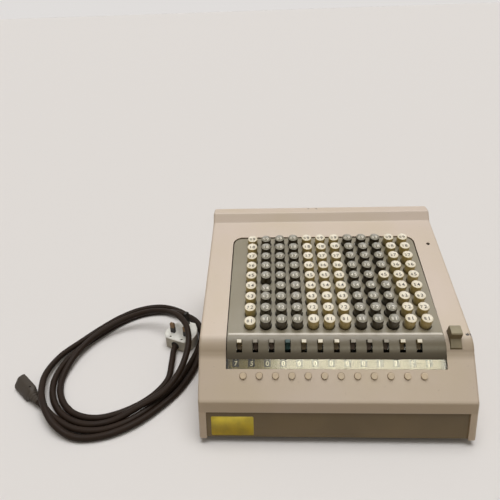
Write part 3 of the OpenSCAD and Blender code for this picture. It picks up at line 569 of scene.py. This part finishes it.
def lead_route():
    """Points of the lead from its connector to its plug, in metres."""
    line = [Vector(p) * MM for p in LEAD_LINE]
    route = []
    for i in range(len(line) - 1):
        b, c = line[i], line[i + 1]
        a = line[i - 1] if i else 2 * b - c
        d = line[i + 2] if i + 2 < len(line) else 2 * c - b
        for step in range(CURVE_STEPS):
            t = step / CURVE_STEPS
            route.append(b + t / 2 * (c - a + t * (2 * a - 5 * b + 4 * c - d + t * (3 * (b - c) + d - a))))
    return route + [line[-1]]


class CALCULATOR_OT_stage(bpy.types.Operator):
    """Makes the camera, the floor, the lamps and the world"""
    bl_idname = "calculator.stage"
    bl_label = "Stage"

    def execute(self, context):
        scene = context.scene
        view = scene.calculator_camera
        lens = bpy.data.cameras.new("camera")
        lens.sensor_width = 36.0
        lens.lens = view.focal * lens.sensor_width / IMAGE_PX
        lens.clip_start, lens.clip_end = 0.01, 50
        forward = Vector((
            math.sin(view.yaw) * math.cos(view.pitch), math.cos(view.yaw) * math.cos(view.pitch),
            -math.sin(view.pitch)))
        level = Vector((math.cos(view.yaw), -math.sin(view.yaw), 0))
        upright = level.cross(forward)
        right = math.cos(view.roll) * level + math.sin(view.roll) * upright
        up = right.cross(forward)
        camera = bpy.data.objects.new("camera", lens)
        turned = Matrix((right, up, -forward)).transposed().to_4x4()
        camera.matrix_world = Matrix.Translation(view.place) @ turned
        scene.collection.objects.link(camera)
        scene.camera = camera
        scene.view_settings.view_transform = "Standard"
        self.make_floor(scene)
        self.make_lamps(scene)
        self.make_world(scene)
        return {"FINISHED"}

    def seen(self, tree):
        """Socket that is 1 where a camera ray meets a thing straight, in a mirror or through glass."""
        rays = add(tree, "ShaderNodeLightPath").outputs
        direct = add(tree, "ShaderNodeMath", None, {0: rays["Is Camera Ray"], 1: rays["Is Glossy Ray"]},
                     operation="MAXIMUM")
        return add(tree, "ShaderNodeMath", None, {0: direct, 1: rays["Is Transmission Ray"]},
                   operation="MAXIMUM").outputs[0]

    def make_floor(self, scene):
        # Pale matt paper to the eye, which throws little light back up at the front of the machine
        material, tree, shader = surface("pale_floor", Roughness=0.9)
        tone = tuple(scene.calculator_colours.floor)
        paper = add(tree, "ShaderNodeMix", {6: linear("#867551"), 7: tone}, {0: self.seen(tree)},
                    data_type="RGBA")
        tree.links.new(paper.outputs[2], shader.inputs["Base Color"])
        bm = bmesh.new()
        bmesh.ops.create_grid(bm, x_segments=2, y_segments=2, size=6.0)
        mesh_object("floor", bm, material)

    def make_lamps(self, scene):
        # A wide soft light overhead, and a strip beside the camera that shines in the window
        ceiling = bpy.data.lights.new("ceiling", "SUN")
        ceiling.energy = 2.0
        ceiling.angle = math.radians(45)
        strip = bpy.data.lights.new("strip", "AREA")
        strip.shape = "RECTANGLE"
        strip.size, strip.size_y = 0.605, 0.13
        strip.energy = 1.65
        strip.color = linear("#FFFAE4")[:3]
        # The strip fades out towards its left end, and half so towards its right one
        strip.use_nodes = True
        tree = strip.node_tree
        along = add(tree, "ShaderNodeNewGeometry").outputs["Parametric"]
        end = add(tree, "ShaderNodeSeparateXYZ", None, {0: along}).outputs["X"]
        fade = add(tree, "ShaderNodeMapRange", {1: 0.0, 2: 0.17}, {0: end}, interpolation_type="SMOOTHSTEP")
        dim = add(tree, "ShaderNodeMapRange", {1: 0.68, 2: 0.98, 3: 1.0, 4: 0.5}, {0: end},
                  interpolation_type="SMOOTHSTEP")
        level = add(tree, "ShaderNodeMath", None, {0: fade, 1: dim}, operation="MULTIPLY")
        tree.links.new(level.outputs[0], tree.nodes["Emission"].inputs["Strength"])
        for lamp, place, aim in (
            (ceiling, (0.15, 0.3, 2.2), (0.0, 0.0, 0.0)),
            (strip, (0.1825, -0.62, 0.56), (0.1825, -0.1, 0.08)),
        ):
            holder = bpy.data.objects.new(lamp.name, lamp)
            holder.location = place
            holder.rotation_euler = (Vector(aim) - Vector(place)).to_track_quat("-Z", "Y").to_euler()
            holder.visible_camera = False
            holder.visible_diffuse = lamp is ceiling
            scene.collection.objects.link(holder)

    def make_world(self, scene):
        # A room that is brightest overhead, seen as the same pale tone as the floor
        world = bpy.data.worlds.new("studio")
        scene.world = world
        world.use_nodes = True
        tree = world.node_tree
        tree.nodes.clear()
        around = add(tree, "ShaderNodeTexCoord").outputs["Generated"]
        rise = add(tree, "ShaderNodeSeparateXYZ", None, {0: around}).outputs["Z"]
        height = add(tree, "ShaderNodeMapRange", {1: 0.0, 2: 1.0, 3: 0.12, 4: 0.5}, {0: rise})
        walls = add(tree, "ShaderNodeMix", {6: linear("#F2DDBE"), 7: linear("#F7F5F2")}, {0: rise},
                    data_type="RGBA")
        room = add(tree, "ShaderNodeBackground", None, {"Color": walls.outputs[2], "Strength": height})
        pale = tuple(scene.calculator_colours.floor)
        backdrop = add(tree, "ShaderNodeBackground", {"Color": pale, "Strength": 1.0})
        mixed = add(tree, "ShaderNodeMixShader", None, {0: self.seen(tree), 1: room, 2: backdrop})
        add(tree, "ShaderNodeOutputWorld", None, {"Surface": mixed})


class CALCULATOR_OT_connector(bpy.types.Operator):
    """Moulds the connector at the lead's machine end, with its sockets and its ribbed strain relief"""
    bl_idname = "calculator.connector"
    bl_label = "Lead connector"

    # Section across the connector, which lies tipped on one side, about the lead's middle
    section = (
        (-8.6, -8.1), (-9.2, -4.5), (-8.2, -1.2), (-1.2, 6.9), (0.8, 8.1), (6.6, 8.2), (8.6, 7.2),
        (9.4, 4.0), (9.6, -3.0), (9.2, -7.4), (8.2, -8.2), (0.0, -8.3),
    )
    # Rings from its mouth to the lead: place along it, shift aside and size of the section
    body = (
        (-55.0, 2.2, 0.86), (-54.4, 2.2, 0.94), (-53.0, 2.1, 0.99), (-51.0, 2.0, 1.0),
        (-30.0, 1.0, 1.0), (-23.0, 0.6, 0.97), (-20.5, 0.4, 0.9), (-18.5, 0.2, 0.78),
    )
    # Then round ones: place along it and radius
    relief = (
        (-16.5, 6.6), (-13.4, 6.3), (-13.0, 5.7), (-11.6, 5.6), (-11.2, 6.1), (-8.6, 5.9), (-8.2, 5.3),
        (-6.8, 5.2), (-6.4, 5.7), (-3.8, 5.5), (-3.4, 5.0), (-2.0, 4.9), (-1.6, 5.3), (0.4, 5.1), (0.8, 4.7),
    )
    # Sockets in its mouth: their shifts aside from a place, and their size
    sockets = (-3.4, 1.0, 5.4)
    socket_at = (-51.0, 2.2, -1.6)
    socket_size = (12.0, 2.2, 5.0)
    # Hole of its screw
    hole_at = (-25.0, 3.4, 8.0)
    hole_r = 1.2
    hole_depth = 5.0

    def execute(self, context):
        first, second = (Vector(p) * MM for p in LEAD_LINE[:2])
        aim = math.atan2(second.y - first.y, second.x - first.x)
        local = Matrix.Translation(first) @ Matrix.Rotation(aim, 4, "Z")
        corners = [Vector(p) for p in self.section]
        outline = [p for a, b in zip(corners, corners[1:] + corners[:1]) for p in (a, (a + b) / 2)]
        loops = [
            [(along, aside + p.x * size, p.y * size) for p in outline] for along, aside, size in self.body]
        loops += [[(along, *(p.normalized() * radius)) for p in outline] for along, radius in self.relief]
        bm = skin(bmesh.new(), [[local @ (Vector(p) * MM) for p in loop] for loop in loops])
        rubber = moulding("moulded_rubber", linear("#3F372E"), 0.5, 1.0, 0.03, 0.3)
        holes = bmesh.new()
        size = Matrix.Diagonal((*(c * MM for c in self.socket_size), 1))
        for aside in self.sockets:
            place = Matrix.Translation((Vector(self.socket_at) + Vector((0, aside, 0))) * MM)
            bmesh.ops.create_cube(holes, size=1, matrix=local @ place @ size)
        place = Matrix.Translation(Vector(self.hole_at) * MM)
        bmesh.ops.create_cone(
            holes, cap_ends=True, segments=20, radius1=self.hole_r * MM, radius2=self.hole_r * MM,
            depth=self.hole_depth * MM, matrix=local @ place)
        connector = cut(mesh_object("connector", bm, rubber), holes)
        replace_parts(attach(connector, "machine"), "lead_connector")
        return {"FINISHED"}


class CALCULATOR_OT_lead(bpy.types.Operator):
    """Lays the mains lead in its loops"""
    bl_idname = "calculator.lead"
    bl_label = "Mains lead"

    def execute(self, context):
        scene = context.scene
        colours = scene.calculator_colours
        diameter = scene.calculator_sizes.lead
        route = lead_route()
        curve = bpy.data.curves.new("flex", "CURVE")
        curve.dimensions = "3D"
        curve.bevel_depth = diameter / 2
        curve.bevel_resolution = 4
        curve.use_fill_caps = True
        spline = curve.splines.new("POLY")
        spline.points.add(len(route) - 1)
        for point, place in zip(spline.points, route):
            point.co = (*place, 1.0)
        flex = bpy.data.objects.new("flex", curve)
        scene.collection.objects.link(flex)
        sheath = moulding("rubber_sheath", tuple(colours.lead), 0.5, 2.0, 0.06, 0.16)
        curve.materials.append(sheath)
        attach(flex, "machine")
        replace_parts(flex, "mains_lead")
        ends = [NODES[name] for name in ("lead_plug", "lead_plug_pins")]
        trim = ("connector", "pin_sleeves", "grip_screws", "cord_grommet")
        ends += [bpy.data.objects[name] for name in trim]
        return {"FINISHED"}


class CALCULATOR_OT_plug(bpy.types.Operator):
    """Finishes the plug and its pins, and adds the pins' nylon, the cord grip's screws and its grommet"""
    bl_idname = "calculator.plug"
    bl_label = "Plug"

    # Nylon on the pins, halfway up the live ones and over all of the earth one: reach across and along the
    # plug from a pin's middle, at rising heights above the face
    sleeve = ((3.34, 2.16, -0.4), (3.34, 2.16, 8.7), (3.2, 2.02, 9.0))
    jacket = ((2.16, 4.16, -0.4), (2.16, 4.16, 22.0), (1.46, 3.46, 22.86))
    nylon = (((-11.1, 14.5), sleeve), ((11.1, 14.5), sleeve), ((0.0, 36.7), jacket))
    # Cord grip's screws and the grommet: places in the plug's frame, and profiles of radius and height
    screws_at = ((-9.5, 4.5), (9.5, 4.5))
    screw = ((0, -4.9), (1.5, -4.9), (1.5, -3.6), (1.2, -3.2), (0.45, -3.0), (0.4, -3.5), (0, -3.5))
    entry_z = -11.0
    ring = ((0, -1.5), (6.2, -1.5), (6.4, 0.2), (6.0, 0.8), (5.0, 1.0), (4.6, 0.4), (0, 0.4))

    def execute(self, context):
        colours = context.scene.calculator_colours
        dress("lead_plug", moulding("urea_plug", tuple(colours.plug), 0.32), 0.9)
        dress("lead_plug_pins", metal("plug_brass", linear("#80684F"), 0.4), 0.2)
        spot = Vector((*PLUG_FRONT, PLUG_TOP)) * MM
        local = Matrix.Translation(spot) @ Matrix.Rotation(PLUG_TURN, 4, "Z")
        sleeves, screws = bmesh.new(), bmesh.new()
        for (x, y), outline in self.nylon:
            skin(sleeves, [
                [local @ (Vector((x + across * a, y + along * b, up)) * MM)
                 for a, b in ((-1, -1), (1, -1), (1, 1), (-1, 1))]
                for across, along, up in outline])
        for place in self.screws_at:
            lathe(screws, self.screw, local @ Matrix.Translation(Vector((*place, 0)) * MM), 20)
        covers = mesh_object("pin_sleeves", sleeves, moulding("sleeve_nylon", linear("#1E1C1A"), 0.4))
        heads = mesh_object("grip_screws", screws, metal("plated_screw", linear("#A8A296"), 0.35))
        entry = local @ Matrix.Translation((0, 0, self.entry_z * MM)) @ Matrix.Rotation(math.pi / 2, 4, "X")
        ring = lathe(bmesh.new(), self.ring, entry)
        grommet = mesh_object("cord_grommet", ring, moulding("grommet_rubber", linear("#1B1713"), 0.6))
        for piece, slot in ((covers, "dark_plastic"), (heads, "steel"), (grommet, "lead_rubber")):
            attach(piece, "machine")
        return {"FINISHED"}


class CALCULATOR_OT_cover(bpy.types.Operator):
    """Paints the cover"""
    bl_idname = "calculator.cover"
    bl_label = "Top cover"

    def execute(self, context):
        colours = context.scene.calculator_colours
        chips = (
            ((155.5, -78.5, 108.3), 1.9), ((160.7, -78.5, 107.5), 2.6), ((160.0, -135.2, 57.0), 1.6),
            ((-161.0, -77.2, 104.5), 1.8), ((-161.0, -79.1, 95.0), 1.2), ((-17.0, 141.0, 166.7), 1.0),
            ((-5.0, 141.0, 166.7), 1.3), ((22.5, 128.0, 162.0), 1.0),
        )
        # Painted shade on the cover's shoulder and front lip, darkest at their middles
        shade_bands = ((SHOULDER_SHADE, ((0.0, 0.68), (9.0, 0.71), (15.0, 1.0))),
                  (LIP_SHADE, ((0.0, 0.86), (6.5, 0.87), (9.0, 1.0))))
        putty = enamel("putty_enamel", tuple(colours.cover), tuple(colours.cover_aged), 0.4, chips, shade_bands)
        dress("top_cover", putty, 0.5)
        return {"FINISHED"}


class CALCULATOR_OT_plate(bpy.types.Operator):
    """Paints the keyboard plate and its fold"""
    bl_idname = "calculator.plate"
    bl_label = "Keyboard plate"

    # Bead on the fold: its section, its ends across the machine and how much it leans over the flat
    bead = ((-1.8, -0.4), (-1.5, 0.02), (-0.8, 0.3), (0.0, 0.4), (0.8, 0.32), (1.4, 0.06), (1.7, -0.4))
    bead_ends = (-125.6, 125.6)
    lean = math.radians(3)

    def execute(self, context):
        colours = context.scene.calculator_colours
        # Painted shade on the roll, darkest at its front and lighter up towards the fold
        roll_shade = ((0.0, 0.28), (14.0, 0.35), (24.0, 0.47), (31.0, 0.65), (34.5, 0.95))
        shade_bands = (((ROLL_C[0] - ROLL_R, ROLL_C[1]), roll_shade),)
        taupe = enamel("taupe_enamel", tuple(colours.plate), tuple(colours.plate_worn), 0.36, (), shade_bands)
        dress("keyboard_plate", taupe, 0.25)
        # The fold where the flat turns into the roll stands up a little, and its pale paint is a painted
        # highlight along it
        wear_and_highlight = enamel("rubbed_enamel", linear("#DBD4C8"), linear("#C4BBAB"), 0.32)
        fold = on_slope(PLATE_FOLD, KEY_SLOPE + self.lean)
        bm = skin(bmesh.new(), [
            [fold @ (Vector((x, *spot)) * MM) for spot in self.bead] for x in self.bead_ends])
        bead = mesh_object("plate_fold", bm, wear_and_highlight, 60)
        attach(bead, "machine")
        return {"FINISHED"}


class CALCULATOR_OT_keys(bpy.types.Operator):
    """Turns the keys of each column and letters them"""
    bl_idname = "calculator.keys"
    bl_label = "Keys"

    profile = (
        (0, -28.6), (1.7, -28.6), (2.0, -28.3), (2.0, -9.0), (6.3, -9.0), (6.6, -8.9), (6.75, -8.6),
        (6.75, 11.9), (6.72, 12.35), (6.6, 12.72), (6.38, 12.93), (6.1, 13.0), (5.8, 12.93), (5.4, 12.77),
        (4.7, 12.58), (3.6, 12.44), (2.0, 12.36), (0, 12.33),
    )
    # Reach of the dish in a key's top, a height just under it, and where numerals stand on it
    dish_r = 6.1
    dish_z = 12.3
    large_at = (2.0, -0.1)
    small_at = (-2.5, -0.3)
    proud = 0.03

    def dish(self, radius):
        """Height of a key's top at this radius, in millimetres."""
        top = [p for p in self.profile if p[1] > self.dish_z and p[0] <= self.dish_r]
        return between(sorted(top), radius)

    def execute(self, context):
        scene = context.scene
        colours, sizes = scene.calculator_colours, scene.calculator_sizes
        ivory = key_resin("ivory_resin", tuple(colours.ivory), tuple(colours.ivory_side))
        dark = key_resin("dark_resin", tuple(colours.dark), tuple(colours.dark_side))
        inks = {True: ink("white_filling", tuple(colours.light_ink)),
                False: ink("black_filling", tuple(colours.dark_ink))}
        plate = on_slope(GRID, KEY_SLOPE)
        for column in range(1, COLUMNS + 1):
            is_dark = column in DARK_COLUMNS
            keys = bmesh.new()
            letters = {True: bmesh.new(), False: bmesh.new()}
            x = FIRST_COLUMN + (column - 1) * COLUMN_PITCH
            for row in range(1, ROWS + 1):
                spare = (column, row) == SPARE_KEY
                sunk = SUNK_KEYS.get((column, row), 0.0)
                spot = plate @ Matrix.Translation((x * MM, (row - MIDDLE_ROW) * ROW_PITCH * MM, -sunk * MM))
                lathe(keys, self.profile, spot, 40, 1 if spare else 0)
                lettering = letters[is_dark and not spare]

                def lay(u, v, spot=spot):
                    radius = math.hypot(u, v) / MM
                    return spot @ Vector((u, v, (self.dish(radius) + self.proud) * MM))

                for sign, height, at in ((row, sizes.key_numeral, self.large_at),
                                         (ROWS - row, sizes.complement, self.small_at)):
                    numeral(lettering, str(sign), height, Vector(at) * MM, lay)
            body = f"key_column_{column}"
            caps = mesh_object(f"keys_{column}", keys, [dark if is_dark else ivory, ivory], 50)
            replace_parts(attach(caps, body), f"keys_column_{column}")
            for pale, lettering in letters.items():
                if not lettering.verts:
                    lettering.free()
                    continue
                tone = "white" if pale else "black"
                signs = mesh_object(f"numerals_{tone}_{column}", lettering, inks[pale])
                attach(thicken(signs, sizes.ink), body)
        return {"FINISHED"}


class CALCULATOR_OT_levers(bpy.types.Operator):
    """Gives the cut-off levers their colours"""
    bl_idname = "calculator.levers"
    bl_label = "Cut-off levers"

    def execute(self, context):
        colours = context.scene.calculator_colours
        roll = (ROLL_C, ROLL_R)
        # The last tone of each lever is painted shade on what lies inside the roll's slot
        ivory = key_resin("ivory_lever", linear("#F3EBD6"), tuple(colours.ivory_side), 0.0,
                          (*roll, linear("#8A7A5E")))
        dark = key_resin("dark_lever", linear("#9A9282"), tuple(colours.dark_side), 0.0,
                         (*roll, linear("#6B5B4E")))
        green = key_resin("green_lever", linear("#2C4A47"), tuple(colours.green), 0.0,
                          (*roll, linear("#27504C")))
        for lever in range(1, COLUMNS + 1):
            finish = green if lever == GREEN_LEVER else dark if lever in DARK_COLUMNS else ivory
            dress(f"cutoff_lever_{lever}", finish, 0.5)
        return {"FINISHED"}


class CALCULATOR_OT_wheels(bpy.types.Operator):
    """Letters the number wheels"""
    bl_idname = "calculator.wheels"
    bl_label = "Number wheels"

    # Radius on which the numerals lie, how far down they stand, and how much they are thickened
    numeral_r = 12.02
    drop = -0.5
    bold = 0.035

    def execute(self, context):
        scene = context.scene
        colours, sizes = scene.calculator_colours, scene.calculator_sizes
        rim = moulding("wheel_black", tuple(colours.wheel), 0.45, 2.0, 0.02)
        white = ink("wheel_white", tuple(colours.light_ink))
        radius = self.numeral_r * MM
        for wheel in range(1, WHEELS + 1):
            dress(f"number_wheel_{wheel}", rim, 0.25)
            signs = bmesh.new()
            x = (FIRST_WHEEL + (wheel - 1) * COLUMN_PITCH) * MM
            for digit in range(10):
                turn = (digit - SHOWN_DIGITS[wheel - 1]) * DIGIT_TURN

                def wrap(u, v, turn=turn, x=x):
                    slope = PANEL_SLOPE + turn - v / radius
                    return Vector((x + u, WHEEL_C[0] * MM - radius * math.sin(slope),
                                   WHEEL_C[1] * MM + radius * math.cos(slope)))

                numeral(signs, str(digit), sizes.wheel_numeral, (0, self.drop * MM), wrap, self.bold)
            piece = mesh_object(f"wheel_numerals_{wheel}", signs, white)
            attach(thicken(piece, sizes.ink), f"wheel_{wheel}")
        return {"FINISHED"}


class CALCULATOR_OT_register(bpy.types.Operator):
    """Finishes the register's window and mask"""
    bl_idname = "calculator.register"
    bl_label = "Register window and mask"

    def execute(self, context):
        colours = context.scene.calculator_colours
        dress("register_window", acrylic("clear_acrylic"), 0.3)
        dress("register_mask", enamel("mask_enamel", tuple(colours.mask), tuple(colours.mask), 0.55))
        return {"FINISHED"}


class CALCULATOR_OT_buttons(bpy.types.Operator):
    """Finishes the clear key and the decimal buttons"""
    bl_idname = "calculator.buttons"
    bl_label = "Clear key and decimal buttons"

    def execute(self, context):
        colours = context.scene.calculator_colours
        # The clear key's upright faces take the darker tone as painted shade
        resin = moulding(
            "clear_key_resin", tuple(colours.clear_key), 0.55, 1.0, 0.03, 0.3, linear("#7C7056"))
        dress("clear_key", resin, 0.7)
        dress("decimal_buttons", moulding("button_resin", tuple(colours.button), 0.4, 2.0), 0.3)
        return {"FINISHED"}


class CALCULATOR_OT_fascia(bpy.types.Operator):
    """Paints the fascia and sticks on its blank label"""
    bl_idname = "calculator.fascia"
    bl_label = "Front fascia and label"

    # Lower left corner of the label on the fascia, its depth there, its round corners and its thickness
    left = -146.3 * MM
    low = 3.0 * MM
    depth = -1.98 * MM
    corner = 1.6 * MM
    corner_steps = 5
    thickness = 0.12 * MM

    def execute(self, context):
        scene = context.scene
        colours, sizes = scene.calculator_colours, scene.calculator_sizes
        tone = tuple(colours.fascia)
        shaded = tuple(c * 0.8 for c in tone[:3]) + (1.0,)
        dress("front_fascia", enamel("fascia_enamel", tone, shaded, 0.36))
        front = on_slope(FRONT_FOOT, math.pi / 2 - FRONT_LEAN)
        near, right, top = self.corner, sizes.label_w - self.corner, sizes.label_h - self.corner
        bm = bmesh.new()
        outline = []
        for x, y, start in ((right, near, -90), (right, top, 0), (near, top, 90), (near, near, 180)):
            for i in range(self.corner_steps + 1):
                angle = math.radians(start + 90 * i / self.corner_steps)
                spot = Vector((self.left + x + self.corner * math.cos(angle),
                               self.low + y + self.corner * math.sin(angle), self.depth))
                outline.append(bm.verts.new(front @ spot))
        bm.faces.new(outline)
        vinyl = moulding("label_vinyl", tuple(colours.label), 0.45, 4.0, 0.05)
        label = mesh_object("blank_label", bm, vinyl)
        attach(thicken(label, self.thickness), "machine")
        return {"FINISHED"}


class CALCULATOR_OT_base(bpy.types.Operator):
    """Finishes the base pan, the feet and their screws"""
    bl_idname = "calculator.base"
    bl_label = "Base and feet"

    def execute(self, context):
        grey = linear("#75706A")
        dress("base_pan", enamel("pan_primer", grey, linear("#655F57"), 0.6), 0.4)
        dress("rubber_feet", moulding("black_rubber", linear("#24221F"), 0.7, 1.0, 0.05), 0.6)
        dress("foot_screws", metal("zinc_screw", linear("#B9B8B2"), 0.35), 0.2)
        return {"FINISHED"}


class CALCULATOR_OT_works(bpy.types.Operator):
    """Finishes the pieces inside the case and the mains inlet"""
    bl_idname = "calculator.works"
    bl_label = "Works and inlet"

    def execute(self, context):
        sheet = metal("zinc_plate", linear("#A9A79F"), 0.42, (12, 0.5, 12))
        bright = metal("bright_steel", linear("#C4C4C0"), 0.28)
        black = metal("phosphated_steel", linear("#57503F"), 0.55, (12, 0.5, 12))
        for name in ("side_frame_left", "side_frame_right"):
            dress(name, black, 0.2)
        for name in ("key_guide_plate", "motor_cradle"):
            dress(name, sheet, 0.2)
        for name in ("register_shaft", "lever_shaft", "tie_rods"):
            dress(name, bright, 0.2)
        dress("drive_motor", enamel("motor_enamel", linear("#3E4143"), linear("#34373A"), 0.5), 0.8)
        dress("power_inlet", moulding("phenolic", linear("#2B2622"), 0.35), 0.3)
        return {"FINISHED"}


PIECES = (
    CALCULATOR_OT_stage, CALCULATOR_OT_plug, CALCULATOR_OT_connector, CALCULATOR_OT_lead,
    CALCULATOR_OT_cover, CALCULATOR_OT_plate, CALCULATOR_OT_keys, CALCULATOR_OT_levers,
    CALCULATOR_OT_wheels, CALCULATOR_OT_register, CALCULATOR_OT_buttons, CALCULATOR_OT_fascia,
    CALCULATOR_OT_base, CALCULATOR_OT_works,
)


class CALCULATOR_PT_panel(bpy.types.Panel):
    """Lists the operators and what they can be told"""
    bl_idname = "CALCULATOR_PT_panel"
    bl_label = "Key-driven calculator"
    bl_space_type = "VIEW_3D"
    bl_region_type = "UI"
    bl_category = "Calculator"

    def draw(self, context):
        for piece in PIECES:
            self.layout.operator(piece.bl_idname)
        for name in GROUPS:
            group = getattr(context.scene, name)
            box = self.layout.box()
            for key in group.bl_rna.properties.keys():
                if key not in ("rna_type", "name"):
                    box.prop(group, key)


GROUPS = {
    "calculator_camera": CalculatorCamera,
    "calculator_sizes": CalculatorSizes,
    "calculator_colours": CalculatorColours,
}


def register():
    for group in GROUPS.values():
        bpy.utils.register_class(group)
    for each in (*PIECES, CALCULATOR_PT_panel):
        bpy.utils.register_class(each)
    for name, group in GROUPS.items():
        setattr(bpy.types.Scene, name, bpy.props.PointerProperty(type=group))


def unregister():
    for name in GROUPS:
        delattr(bpy.types.Scene, name)
    for each in (CALCULATOR_PT_panel, *reversed(PIECES), *GROUPS.values()):
        bpy.utils.unregister_class(each)


def main():
    register()
    for piece in PIECES:
        space, name = piece.bl_idname.split(".")
        getattr(getattr(bpy.ops, space), name)()


if __name__ == "__main__":
    main()
